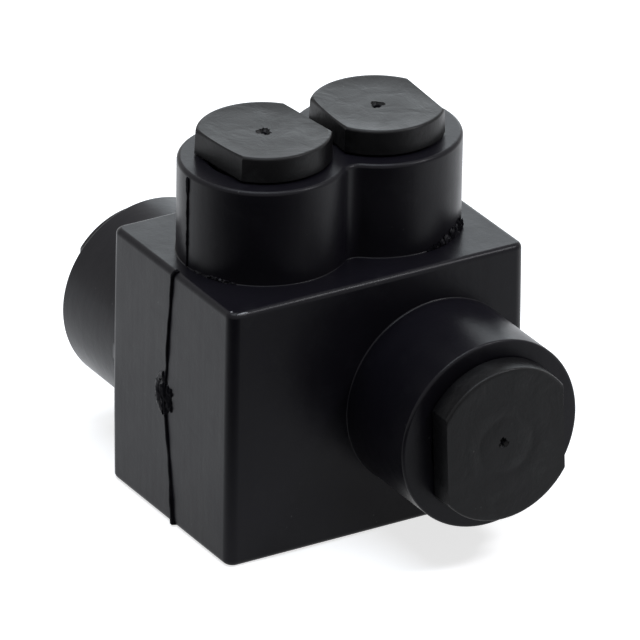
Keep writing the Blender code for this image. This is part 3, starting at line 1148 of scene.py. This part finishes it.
    def port_barrel(self, side: Side) -> Piece:
        """One conductor barrel, filleted at its root and rounded at its rim.

        Args:
            side: RIGHT is the front barrel, LEFT the back one.

        Returns:
            The solid barrel, in place.
        """
        radius, length = SIZES.port_barrel_radius, SIZES.port_barrel_length
        root, edge = self.port_root, self.port_rim
        foot = [(0.0, -SIZES.wall / 2), (radius + root, -SIZES.wall / 2)]
        fillet = arc((radius + root, root), root, 268, 180)
        rim = arc((radius - edge, length - edge), edge, 0, 90, 6)
        profile = foot + fillet + rim + [(0.0, length)]
        return Bench.turned(
            "port_barrel", profile, SIZES.port_frame(side, SIZES.depth / 2), self.sides
        )

    def screw_well(self, side: Side) -> Piece:
        """Cutter for the well above a set screw.

        Args:
            side: The screw barrel.

        Returns:
            The cutter.
        """
        radius, foot = SIZES.screw_well_radius, -SIZES.wall - SIZES.overrun
        return Bench.hole(
            "screw_well", [(0.0, foot), (radius, foot)], SIZES.mouth_chamfer,
            SIZES.screw_barrel_height, SIZES.screw_frame(side, SIZES.height),
        )

    def port_well(self, side: Side) -> Piece:
        """Cutter for a conductor's way in, with its funnel.

        Args:
            side: RIGHT is the front barrel, LEFT the back one.

        Returns:
            The cutter.
        """
        neck, foot = SIZES.bore_radius + SIZES.fit_gap, -SIZES.wall - SIZES.overrun
        shoulder = SIZES.port_barrel_length - SIZES.port_well_depth
        inner = [
            (0.0, foot),
            (neck, foot),
            (neck, shoulder - SIZES.funnel_length),
            (SIZES.port_well_radius, shoulder),
        ]
        return Bench.hole(
            "port_well", inner, SIZES.mouth_chamfer, SIZES.port_barrel_length,
            SIZES.port_frame(side, SIZES.depth / 2),
        )

    def ridge(
        self, name: str, x: float, proud: float, width: float, foot: float, top: float, seed: int
    ) -> Piece:
        """An uneven upright fin that stands off a face towards -X.

        Args:
            name: Name of the fin.
            x: Where the face lies.
            proud: How far the fin stands off it.
            width: Its width at its root.
            foot: Height of its lower end.
            top: Height of its upper end.
            seed: Seed of its uneven edge.

        Returns:
            The fin.
        """
        size = (proud + self.flash_sunk, width, top - foot)
        centre = (x - (proud - self.flash_sunk) / 2, 0.0, (foot + top) / 2)
        fin = Bench.box(name, size, centre)
        Bench.edit(fin)
        Bench.pick(fin, Element.EDGE, lambda e: climb(e) > TOLERANCE)
        bpy.ops.mesh.subdivide(number_cuts=self.flash_rows)
        outer = x - proud
        Bench.pick(fin, Element.VERT, lambda v: abs(v.co.x - outer) < TOLERANCE)
        bpy.ops.transform.resize(
            value=(1.0, self.flash_taper, 1.0), center_override=(outer, 0.0, 0.0)
        )
        step = (top - foot) / (self.flash_rows + 1)
        rng = random.Random(seed)
        for row in range(self.flash_rows + 2):
            height = foot + step * row
            waves = (
                share * math.sin(pace * row + turns * seed)
                for share, pace, turns in self.flash_waves
            )
            pull = proud * (self.flash_wear * sum(waves, 0.5) + rng.uniform(0.0, self.flash_nick))
            Bench.pick(fin, Element.VERT, lambda v: (
                v.co.x < x and abs(v.co.z - height) < step / 2
            ))
            bpy.ops.transform.translate(value=(pull, 0.0, 0.0))
        Bench.close()
        return fin

    @staticmethod
    def set_seam(fin: Piece, side: Side) -> Piece:
        """Smooth a fin that was made for the left side, and turn it half round for the right.

        Args:
            fin: The fin, in edit mode.
            side: Where it belongs.

        Returns:
            The fin, in place.
        """
        Bench.seal()
        Bench.finish(fin, angle=50.0)
        if side is Side.RIGHT:
            Bench.place(fin, Matrix.Rotation(math.pi, 4, "Z"))
        return fin

    def drift(self, height: float) -> float:
        """How far the parting line strays from the middle at a height on the block.

        Args:
            height: The height.

        Returns:
            The distance along Y, as it is on the left end face.
        """
        share = height / SIZES.height
        for (low, before), (high, after) in zip(self.seam_path, self.seam_path[1:]):
            if share <= high:
                return self.seam_drift * (before + (after - before) * (share - low) / (high - low))
        return self.seam_drift * self.seam_path[-1][1]

    def tuck(self, height: float) -> float:
        """How far the rounded top edge draws back from an end face at a height on the block."""
        lift = min(max(height - SIZES.height + self.edge, 0.0), self.tuck_limit * self.edge)
        return self.edge - math.sqrt(self.edge**2 - lift**2)

    def seam(self, name: str, side: Side, past: float, seed: int) -> Piece:
        """The flash along the parting line of one end face, with a nub at each end.

        Args:
            name: Name of the fin.
            side: The end face.
            past: How far its top reaches past the block's top, or below it where negative.
            seed: Seed of its uneven edge.

        Returns:
            The fin.
        """
        foot, top = self.seam_foot, SIZES.height + past
        face = -SIZES.width / 2 - self.seam_bow * self.bow
        fin = self.ridge(name, face, self.flash_proud - self.bow, self.flash_width, foot, top, seed)
        Bench.edit(fin)
        Bench.pick(fin, Element.VERT, lambda v: v.co.z < SIZES.port_z)
        bpy.ops.transform.resize(
            value=(1.0, self.seam_heavy, 1.0), center_override=(face, 0.0, foot)
        )
        rows = self.flash_rows + 1
        for row in range(rows + 1):
            height = foot + (top - foot) * row / rows
            Bench.pick(fin, Element.VERT, lambda v: abs(v.co.z - height) < (top - foot) / rows / 2)
            bpy.ops.transform.translate(value=(self.tuck(height), self.drift(height), 0.0))
        for end in (foot, top):
            Bench.pick(fin, Element.VERT, lambda v: abs(v.co.z - end) < self.nub_reach)
            bpy.ops.transform.resize(
                value=(1.0, self.nub_width, 1.0), center_override=(face, self.drift(end), end)
            )
        return self.set_seam(fin, side)

    def barrel_seam(self, name: str, side: Side, seed: int) -> Piece:
        """The thin parting line up the outer side of a screw barrel, wide near its rim.

        Args:
            name: Name of the fin.
            side: The barrel.
            seed: Seed of its uneven edge.

        Returns:
            The fin, in place.
        """
        x = -SIZES.lane_x - SIZES.screw_barrel_radius
        foot, top = SIZES.height + self.root, SIZES.screw_rim_z - self.rim
        proud, width = self.barrel_flash_proud, self.barrel_flash_width
        fin = self.ridge(name, x, proud, width, foot, top, seed)
        Bench.edit(fin)
        Bench.pick(fin, Element.VERT, lambda v: v.co.z > top - self.barrel_nub_reach)
        bpy.ops.transform.resize(
            value=(1.0, self.barrel_nub_width, 1.0), center_override=(x, 0.0, top)
        )
        return self.set_seam(fin, side)

    def gate_scar(self) -> Piece:
        """The torn lump that the moulding gate left on the left parting line.

        Returns:
            The lump.
        """
        height, aside = SIZES.port_z, self.gate_aside
        middle = (-SIZES.width / 2, self.drift(height) - aside, height - aside)
        scar = Bench.lump("gate_scar", 5, self.gate_size, middle)
        torn = bpy.data.textures.new("torn_gate", "CLOUDS")
        torn.noise_scale = 0.0008
        torn.noise_depth = 4
        Bench.modifier(
            scar, "DISPLACE", texture=torn, strength=self.gate_tear, mid_level=0.60,
            texture_coords="LOCAL",
        )
        Bench.edit(scar)
        Bench.shave((-SIZES.width / 2 - self.flash_proud, 0.0, 0.0), (-1.0, 0.0, 0.0))
        Bench.seal()
        Bench.finish(scar, angle=40.0)
        return scar

    def gate_lip(self) -> Piece:
        """The smeared lip that stands round the back of the gate's scar.

        Returns:
            The lip.
        """
        Bench.clear()
        middle = (-SIZES.width / 2, self.drift(SIZES.port_z) + self.lip_aside, SIZES.port_z)
        bpy.ops.mesh.primitive_torus_add(
            location=middle, rotation=(0.0, math.radians(90), 0.0), major_segments=72,
            minor_segments=12, major_radius=self.lip_radius, minor_radius=self.lip_thickness,
        )
        lip = Bench.name(bpy.context.object, "gate_lip")
        lip.scale = (self.lip_stretch, 1.0, 1.0)
        Bench.place(lip)
        Bench.roughen(lip, self.lip_tear, seed=4)
        Bench.edit(lip)
        Bench.shave((0.0, middle[1] + self.lip_cut, 0.0), (0.0, -1.0, 0.0))
        Bench.seal()
        Bench.finish(lip, angle=60.0)
        return lip

    def highlight_lump(self, name: str, centre: Point, size: Point, seed: int) -> Piece:
        """A small raised lump on an edge, which build() dresses in pale plastic as a painted
        highlight.

        Args:
            name: Name of the lump.
            centre: Its middle.
            size: Its three diameters.
            seed: Seed of its uneven surface.

        Returns:
            The lump.
        """
        mark = Bench.lump(name, 3, size, centre)
        Bench.roughen(mark, self.highlight_lump_tear, seed)
        Bench.finish(mark, angle=60.0)
        return mark


@dataclass
class BarrelPlug:
    """A plug with a flatted head on its barrel's rim and a hollow skirt in the well.

    Attributes:
        where: The barrel that it closes.
        radius: Radius of the head's foot.
        flat: Distance of each flat from the axis, at the foot.
        well: Radius of the barrel's well.
        skirt: How far the skirt goes into the well.
        turn: Turn of the flats about the axis in degrees.
        head: Height of the head.
        edge: Radius of its round edge.
        flat_edge: Radius of the edge along each flat.
        dish: How far the middle of its top is sunk.
        dish_share: Radius of the level middle, in parts of the top.
        dish_steps: Radii of the steps from the rim to it, likewise.
        lean: Draft of its sides in degrees.
        wall: Thickness of the skirt and of the head's roof.
        ring_radius: Radius of the faint ring round the middle of a conductor plug.
        ring_width: Half of its width.
        ring_depth: Its depth.
        shift: How far the plug sits off its axis.
        dimple_at: Where the gate's dimple lies on the top.
        dimple_share: Size of the dimple, in parts of the usual one.
        dimple_profile: Its radii, and their heights over the top's dished middle.
        dimple_tears: How many tears its edge has.
        dimple_wave: How far its outline waves, in parts of its radius.
        dimple_nick: How far a tear goes, likewise.
        stub_size: Size of the torn stub in the dimple.
        stub_sunk: How far its middle lies below the top's dished middle.
        stub_tear: How far its surface is torn.
        corner_cuts: Slopes in degrees of the cuts that round the edge along a flat.
        sides: Steps round the head.
    """

    where: Plugged
    radius: float
    flat: float
    well: float
    skirt: float
    turn: float
    head: float = 0.0029
    edge: float = 0.0003
    flat_edge: float = 0.0004
    dish: float = 0.00012
    dish_share: float = 0.55
    dish_steps: tuple[float, ...] = (0.97, 0.93, 0.88, 0.82, 0.75, 0.67, 0.58)
    lean: float = 2.0
    wall: float = 0.0013
    ring_radius: float = 0.0035
    ring_width: float = 0.00025
    ring_depth: float = 0.00003
    shift: float = 0.0
    dimple_at: tuple[float, float] = (0.0, 0.0)
    dimple_share: float = 1.0
    dimple_profile: tuple[tuple[float, float], ...] = (
        (0.0, -0.00042), (0.00042, -0.00038), (0.00078, -0.00012), (0.00100, 0.0003),
        (0.0, 0.0003),
    )
    dimple_tears: int = 24
    dimple_wave: float = 0.18
    dimple_nick: float = 0.16
    stub_size: Point = (0.0008, 0.0006, 0.0006)
    stub_sunk: float = 0.00036
    stub_tear: float = 0.00008
    corner_cuts: tuple[int, ...] = (15, 30, 45, 60, 75)
    sides: int = 160

    @property
    def side(self) -> Side:
        """The lane that the plug closes."""
        right = (Plugged.SCREW_RIGHT, Plugged.PORT_FRONT)
        return Side.RIGHT if self.where in right else Side.LEFT

    @property
    def on_port(self) -> bool:
        """Whether it closes a conductor barrel."""
        return self.where in (Plugged.PORT_FRONT, Plugged.PORT_BACK)

    @property
    def place(self) -> Matrix:
        """The plug's own frame, on its barrel's rim.

        Returns:
            A matrix whose +Z points out of the barrel.
        """
        if self.on_port:
            base = SIZES.port_frame(self.side, SIZES.port_rim_y)
        else:
            base = SIZES.screw_frame(self.side, SIZES.screw_rim_z)
        aside = Matrix.Translation((self.shift, 0.0, 0.0))
        return base @ aside @ Matrix.Rotation(math.radians(self.turn), 4, "Z")

    @property
    def top(self) -> float:
        """Height of the head's top over the rim."""
        return SIZES.fit_gap + self.head

    @property
    def face(self) -> float:
        """Height of the dished middle of the head over the rim."""
        return self.top - self.dish

    def build(self, finishes: Finishes) -> Piece:
        """Model the plug.

        Args:
            finishes: The connector's finishes.

        Returns:
            The dressed plug.
        """
        plug = self.flatted_head()
        Bench.combine(plug, self.stem(), Blend.JOIN)
        Bench.combine(plug, self.hollow(), Blend.CUT)
        Bench.combine(plug, self.dimple(), Blend.CUT)
        Bench.finish(plug, angle=30.0)
        Bench.dress(plug, finishes.plug)
        stub = self.gate_stub()
        Bench.dress(stub, finishes.torn)
        Bench.gather(plug, [stub])
        Bench.place(plug, self.place)
        Bench.name(plug, "moulded_" + self.where.value)
        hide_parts(self.where.value)
        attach(plug, self.where.value)
        return plug

    def flatted_head(self) -> Piece:
        """The head: spun, dished a little, then trimmed by two flats with soft edges.

        Returns:
            The solid head, in the plug's own frame.
        """
        slope = math.radians(self.lean)
        draft = math.tan(slope) * self.head
        rim = self.radius - draft - self.edge
        edge = arc((rim, self.top - self.edge), self.edge, 0, 86)
        low = self.dish_share
        dished = [
            (rim * share, self.top - self.dish * (1 - ((share - low) / (1 - low)) ** 2))
            for share in self.dish_steps
        ]
        ring = []
        if self.on_port:
            ring = [
                (self.ring_radius + self.ring_width, self.face),
                (self.ring_radius, self.face - self.ring_depth),
                (self.ring_radius - self.ring_width, self.face),
            ]
        foot = [(0.0, SIZES.fit_gap), (self.radius, SIZES.fit_gap)]
        centre = [(rim * 0.2, self.face), (0.0, self.face)]
        head = Bench.turned("head", foot + edge + dished + ring + centre, sides=self.sides)
        Bench.edit(head)
        for sign in (-1, 1):
            Bench.shave(
                (sign * self.flat, 0.0, SIZES.fit_gap),
                (sign * math.cos(slope), 0.0, math.sin(slope)),
            )
            heel = Vector((
                sign * (self.flat - draft - self.flat_edge), 0.0, self.top - self.flat_edge
            ))
            for degrees in self.corner_cuts:
                angle = math.radians(degrees)
                normal = Vector((sign * math.cos(angle), 0.0, math.sin(angle)))
                Bench.shave(tuple(heel + self.flat_edge * normal), tuple(normal))
        Bench.seal()
        return head

    def stem(self) -> Piece:
        """The skirt's outside.

        Returns:
            The solid stem.
        """
        outer = self.well - SIZES.fit_gap
        lead = SIZES.mouth_chamfer
        return Bench.turned("stem", [
            (0.0, -self.skirt),
            (outer - lead, -self.skirt),
            (outer, -self.skirt + 2 * lead),
            (outer, SIZES.fit_gap + self.head / 3),
            (0.0, SIZES.fit_gap + self.head / 3),
        ])

    def hollow(self) -> Piece:
        """Cutter for the skirt's inside.

        Returns:
            The cutter.
        """
        inner = self.well - SIZES.fit_gap - self.wall
        roof, corner = self.top - self.wall, 0.0005
        return Bench.turned("hollow", [
            (0.0, -self.skirt - SIZES.overrun),
            (inner, -self.skirt - SIZES.overrun),
            (inner, roof - corner),
            (inner - corner, roof),
            (0.0, roof),
        ])

    def dimple(self) -> Piece:
        """Cutter for the ragged dimple that the plug's own gate left.

        Returns:
            The cutter.
        """
        profile = [(radius, self.face + height) for radius, height in self.dimple_profile]
        dimple = Bench.turned("dimple", profile, sides=self.dimple_tears)
        rng = random.Random(len(self.where.value))
        Bench.edit(dimple)
        for column in range(self.dimple_tears):
            angle = 2 * math.pi * column / self.dimple_tears
            out = Vector((math.cos(angle), math.sin(angle)))
            Bench.pick(dimple, Element.VERT, lambda v: (
                v.co.xy.length > 0.0002 and v.co.xy.normalized().dot(out) > 0.995
            ))
            wave = self.dimple_wave * math.sin(3 * angle + self.turn)
            nick = rng.uniform(-self.dimple_nick, self.dimple_nick)
            pull = (1.0 + wave + nick) * self.dimple_share
            bpy.ops.transform.resize(value=(pull, pull, 1.0), center_override=(0.0, 0.0, 0.0))
        Bench.close()
        Bench.place(dimple, Matrix.Translation((*self.dimple_at, 0.0)))
        return dimple

    def gate_stub(self) -> Piece:
        """The torn stub in the dimple.

        Returns:
            The stub.
        """
        size = tuple(self.dimple_share * side for side in self.stub_size)
        stub = Bench.lump("gate_stub", 3, size, (*self.dimple_at, self.face - self.stub_sunk))
        Bench.roughen(stub, self.stub_tear, len(self.where.value))
        Bench.finish(stub, angle=60.0)
        return stub


@dataclass
class ConductorBlock:
    """The aluminium block that joins the conductors, inside the housing.

    Attributes:
        bore_end: Thickness that a blind bore leaves at its end.
        chamfer: Chamfer of its edges and of its holes.
        screw_radius: Radius of a set screw in the CAD model.
        past_bore: How far a tapped hole goes past the bores' axis.
    """

    bore_end: float = 0.0030
    chamfer: float = 0.0004
    screw_radius: float = 0.00555
    past_bore: float = 0.0025

    def build(self, finishes: Finishes) -> Piece:
        """Model the block.

        Args:
            finishes: The connector's finishes.

        Returns:
            The dressed block.
        """
        low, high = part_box("connector_block")
        size = high - low
        block = Bench.box("block", tuple(size), tuple((low + high) / 2))
        Bench.edit(block)
        bpy.ops.mesh.select_all(action="SELECT")
        bpy.ops.mesh.bevel(offset=self.chamfer, segments=2, profile=0.5)
        Bench.seal()
        bore, tapped = SIZES.bore_radius, self.screw_radius + SIZES.fit_gap
        depth, drop = size.y - self.bore_end, high.z - SIZES.port_z + self.past_bore
        for side in Side:
            for name, radius, deep, tip, place in (
                ("bore", bore, depth, bore / 4, SIZES.port_frame(side, size.y / 2)),
                ("hole", tapped, drop, tapped / 2, SIZES.screw_frame(side, high.z)),
            ):
                drilled = [(0.0, -deep - tip), (radius, -deep)]
                cutter = Bench.hole(name, drilled, self.chamfer, 0.0, place)
                Bench.combine(block, cutter, Blend.CUT)
        Bench.finish(block)
        Bench.dress(block, finishes.aluminium)
        Bench.name(block, "aluminium_block")
        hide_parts("connector_block")
        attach(block, "housing")
        return block


@dataclass
class ClampingScrew:
    """A set screw with a cut thread, a chamfered point and a hexagon socket.

    Attributes:
        side: Its lane.
        radius: Radius over the thread.
        thread_depth: Depth of the thread.
        thread_foot: Height at which the thread starts.
        thread_margin: Length at the two ends that has no thread.
        thread_sunk: How far the thread's ridge goes into the core.
        thread_root: Half of the ridge's width at its root, in parts of the pitch.
        thread_crest: Half of its width at its crest, likewise.
        thread_steps: Steps round the thread.
        pitch: Pitch of the thread.
        hex_width: Width of the socket across its flats.
        hex_depth: Depth of the socket.
        drill_tip: Step round the drill mark in parts of the socket's radius, and size of the
            mark's point in parts of its mouth.
        drill_depth: Depth of the mark, in parts of the socket's radius.
        point: Width and height of the point's chamfer.
        chamfer: Width and height of the head's chamfer.
    """

    side: Side
    radius: float = 0.0055
    thread_depth: float = 0.00055
    thread_foot: float = 0.0010
    thread_margin: float = 0.0022
    thread_sunk: float = 0.0001
    thread_root: float = 0.46
    thread_crest: float = 0.07
    thread_steps: int = 48
    pitch: float = 0.00127
    hex_width: float = 0.00476
    hex_depth: float = 0.0052
    drill_tip: float = 0.12
    drill_depth: float = 0.4
    point: tuple[float, float] = (0.0008, 0.0007)
    chamfer: tuple[float, float] = (0.0003, 0.0004)

    @property
    def node(self) -> str:
        """Name of the CAD node."""
        return "set_screw_" + self.side.name.lower()

    def build(self, finishes: Finishes) -> Piece:
        """Model the screw.

        Args:
            finishes: The connector's finishes.

        Returns:
            The dressed screw.
        """
        low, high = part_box(self.node)
        length = high.z - low.z
        core = self.radius - self.thread_depth
        screw = Bench.turned("screw", [
            (0.0, 0.0),
            (core - self.point[0], 0.0),
            (core, self.point[1]),
            (core, length - self.chamfer[1]),
            (core - self.chamfer[0], length),
            (0.0, length),
        ])
        Bench.combine(screw, self.socket(length), Blend.CUT)
        Bench.finish(screw)
        Bench.gather(screw, [self.thread(core, length)])
        Bench.place(screw, SIZES.screw_frame(self.side, low.z))
        Bench.name(screw, "clamping_screw_" + self.side.name.lower())
        Bench.dress(screw, finishes.screw)
        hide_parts(self.node)
        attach(screw, "screw_" + self.side.name.lower())
        return screw

    def socket(self, length: float) -> Piece:
        """Cutter for the hexagon socket, pointed where the drill ended.

        Args:
            length: The screw's length.

        Returns:
            The cutter.
        """
        Bench.clear()
        radius, tip = self.hex_width / math.sqrt(3), self.drill_tip
        bpy.ops.mesh.primitive_cylinder_add(
            vertices=6,
            radius=radius,
            depth=self.hex_depth + SIZES.overrun,
            location=(0.0, 0.0, length + (SIZES.overrun - self.hex_depth) / 2),
        )
        socket = Bench.name(bpy.context.object, "socket")
        Bench.place(socket)
        Bench.edit(socket)
        Bench.pick(socket, Element.FACE, lambda f: f.normal.z < -0.9)
        bpy.ops.mesh.inset(thickness=radius * tip)
        Bench.extrude((0.0, 0.0, -radius * self.drill_depth))
        bpy.ops.transform.resize(value=(tip, tip, 1.0), center_override=(0.0, 0.0, 0.0))
        Bench.close()
        return socket

    def thread(self, core: float, length: float) -> Piece:
        """The thread's ridge, wound round the core.

        Args:
            core: Radius of the screw's core.
            length: The screw's length.

        Returns:
            The closed ridge.
        """
        turns = int((length - self.thread_margin) / self.pitch)
        sunk = core - self.thread_sunk
        ridge = Bench.drawn("thread", [
            (radius, 0.0, self.thread_foot + self.pitch * share)
            for radius, share in (
                (sunk, -self.thread_root), (self.radius, -self.thread_crest),
                (self.radius, self.thread_crest), (sunk, self.thread_root),
            )
        ])
        bpy.ops.mesh.edge_face_add()
        Bench.close()
        Bench.modifier(
            ridge, "SCREW", angle=2 * math.pi, screw_offset=self.pitch, iterations=turns,
            steps=self.thread_steps, render_steps=self.thread_steps, use_normal_calculate=True,
        )
        Bench.edit(ridge)
        Bench.seal()
        Bench.finish(ridge)
        return ridge


@dataclass
class Studio:
    """The pale floor, the soft lamps and the camera at the photograph's angle.

    Attributes:
        camera_at: Place of the camera.
        camera_to: What it aims at.
        camera_roll: Its roll in degrees.
        lens: Its focal length in millimetres.
        painted_shade_middle: Middle of a dark patch painted on the floor as shade, standing for the
            dark part of the room, which the front face mirrors.
        painted_shade_reach: Distances from it at which the painted shade starts to fade and is
            gone.
        painted_shade_colour: Colour of the floor in the painted shade.
        pale: Colour of the floor elsewhere.
        floor_lift: How strongly the floor glows for the rays that see it.
        world_light: How strongly the surround lights the rest.
        lamp_aim: What every lamp aims at.
    """

    camera_at: Point = (-0.50414, -0.82880, 0.49991)
    camera_to: Point = (0.00098, 0.00103, 0.02030)
    camera_roll: float = 0.9682
    lens: float = 534.38
    painted_shade_middle: Point = (-0.205, -0.275, 0.0)
    painted_shade_reach: tuple[float, float] = (0.270, 0.335)
    painted_shade_colour: Colour = (0.01, 0.01, 0.01)
    pale: Colour = (0.86, 0.86, 0.86)
    floor_lift: float = 0.74
    world_light: float = 0.07
    lamp_aim: Point = (0.0, 0.0, 0.02)

    def build(self) -> None:
        """Make the stage."""
        self.floor()
        self.world()
        self.lamps()
        self.camera()
        bpy.context.scene.view_settings.view_transform = "Standard"

    @staticmethod
    def backdrop_mask(n: Nodes) -> Socket:
        """1 for the rays that should see the plain pale background.

        Args:
            n: The nodes of the material or the world.

        Returns:
            The mask's socket.
        """
        path = n.add("LightPath").outputs
        seen = n.math("MAXIMUM", path["Is Camera Ray"], path["Is Glossy Ray"])
        return n.math("MAXIMUM", seen, path["Is Transmission Ray"])

    def floor(self) -> None:
        """A wide pale floor that keeps the object's shadow, with a painted shade towards the dark
        part of the room that every ray but the camera's sees.
        """
        Bench.clear()
        bpy.ops.mesh.primitive_plane_add(size=3.0, location=(0.0, 0.0, -0.00002))
        floor = Bench.name(bpy.context.object, "studio_floor")
        Bench.place(floor)
        material, n, shader = new_material("pale_floor")
        # Painted shade: the floor's colour and glow fall off round painted_shade_middle, for every
        # ray but the camera's.
        apart = n.add("VectorMath", operation="DISTANCE")
        n.feed(apart.inputs[0], n.add("TexCoord").outputs["Object"])
        n.feed(apart.inputs[1], self.painted_shade_middle)
        sweep = n.spread(apart.outputs["Value"], *self.painted_shade_reach, self.painted_shade_colour[0], 1.0)
        pale = n.math("MAXIMUM", sweep, n.add("LightPath").outputs["Is Camera Ray"])
        n.fill(
            shader,
            Base_Color=n.mix(pale, self.painted_shade_colour, self.pale),
            Roughness=0.9,
            Specular_IOR_Level=0.1,
            Emission_Color=WHITE,
            Emission_Strength=n.times(n.times(self.backdrop_mask(n), pale), self.floor_lift),
        )
        floor.data.materials.append(material)

    def world(self) -> None:
        """A plain white surround, seen at full strength and lighting at a lower one."""
        world = bpy.data.worlds.new("studio_world")
        world.use_nodes = True
        bpy.context.scene.world = world
        n = Nodes(world.node_tree)
        strength = n.spread(self.backdrop_mask(n), 0.0, 1.0, self.world_light, 1.0)
        n.fill(world.node_tree.nodes["Background"], Color=WHITE, Strength=strength)

    def lamps(self) -> None:
        """Soft lamps behind the right, at the left and overhead, and a small one at the front."""
        for name, place, size, power, colour in (
            ("back_softbox", (0.61, 0.73, 0.375), 0.50, 1.45, (0.90, 1.0, 1.07)),
            ("left_softbox", (-0.95, 0.45, 0.34), 0.60, 0.2, (0.94, 1.0, 1.09)),
            ("overhead_softbox", (-0.10, 0.00, 1.10), 0.70, 7.0, (0.93, 1.0, 1.10)),
            ("front_softbox", (0.467, -0.440, 0.785), 0.18, 3.2, (1.0, 1.0, 1.04)),
        ):
            Bench.clear()
            bpy.ops.object.light_add(type="AREA", location=place)
            lamp = bpy.context.object
            lamp.name = name
            lamp.data.shape = "SQUARE"
            lamp.data.size = size
            lamp.data.energy = power
            lamp.data.color = colour
            aim = Vector(self.lamp_aim) - Vector(place)
            lamp.rotation_mode = "QUATERNION"
            lamp.rotation_quaternion = aim.to_track_quat("-Z", "Y")

    def camera(self) -> None:
        """The camera, at the photograph's place, aim and roll."""
        Bench.clear()
        bpy.ops.object.camera_add(location=self.camera_at)
        camera = bpy.context.object
        camera.name = "photo_camera"
        back = (Vector(self.camera_at) - Vector(self.camera_to)).normalized()
        right = Vector((0.0, 0.0, 1.0)).cross(back).normalized()
        up = back.cross(right)
        roll = math.radians(self.camera_roll)
        tilted_right = right * math.cos(roll) + up * math.sin(roll)
        tilted_up = up * math.cos(roll) - right * math.sin(roll)
        axes = Matrix((tilted_right, tilted_up, back)).transposed()
        camera.rotation_mode = "QUATERNION"
        camera.rotation_quaternion = axes.to_quaternion()
        camera.data.lens = self.lens
        camera.data.sensor_width = 36.0
        camera.data.clip_start = 0.01
        camera.data.clip_end = 10.0
        bpy.context.scene.camera = camera


def plain(corners: tuple[Vector, Vector]) -> list[list[float]]:
    """Two corners as plain lists."""
    return [list(corner) for corner in corners]


def main() -> None:
    """Build every piece in order, then the stage."""
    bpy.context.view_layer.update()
    finishes = Finishes()
    port = {
        "radius": 0.0095, "flat": 0.0078, "well": 0.0074, "skirt": 0.0070, "turn": 2.9,
        "dish": 0.00005, "flat_edge": 0.00006, "shift": 0.00015, "dimple_at": (-0.0003, 0.0003),
        "dimple_share": 0.75,
    }
    screw = {"radius": 0.0078, "flat": 0.00638, "well": 0.0063, "skirt": 0.0055, "dish": 0.00020}
    pieces = [
        HousingMoulding(),
        ConductorBlock(),
        ClampingScrew(Side.LEFT),
        ClampingScrew(Side.RIGHT),
        BarrelPlug(Plugged.SCREW_LEFT, turn=5.8, **screw),
        BarrelPlug(Plugged.SCREW_RIGHT, turn=-4.1, **screw),
        BarrelPlug(Plugged.PORT_FRONT, **port),
        BarrelPlug(Plugged.PORT_BACK, **port),
    ]
    for piece in pieces:
        made = piece.build(finishes)
        LOG.info("%s: %d faces", made.name, len(made.data.polygons))
    Studio().build()


if __name__ == "__main__":
    logging.basicConfig(level=logging.INFO, format="%(name)s: %(message)s")
    main()
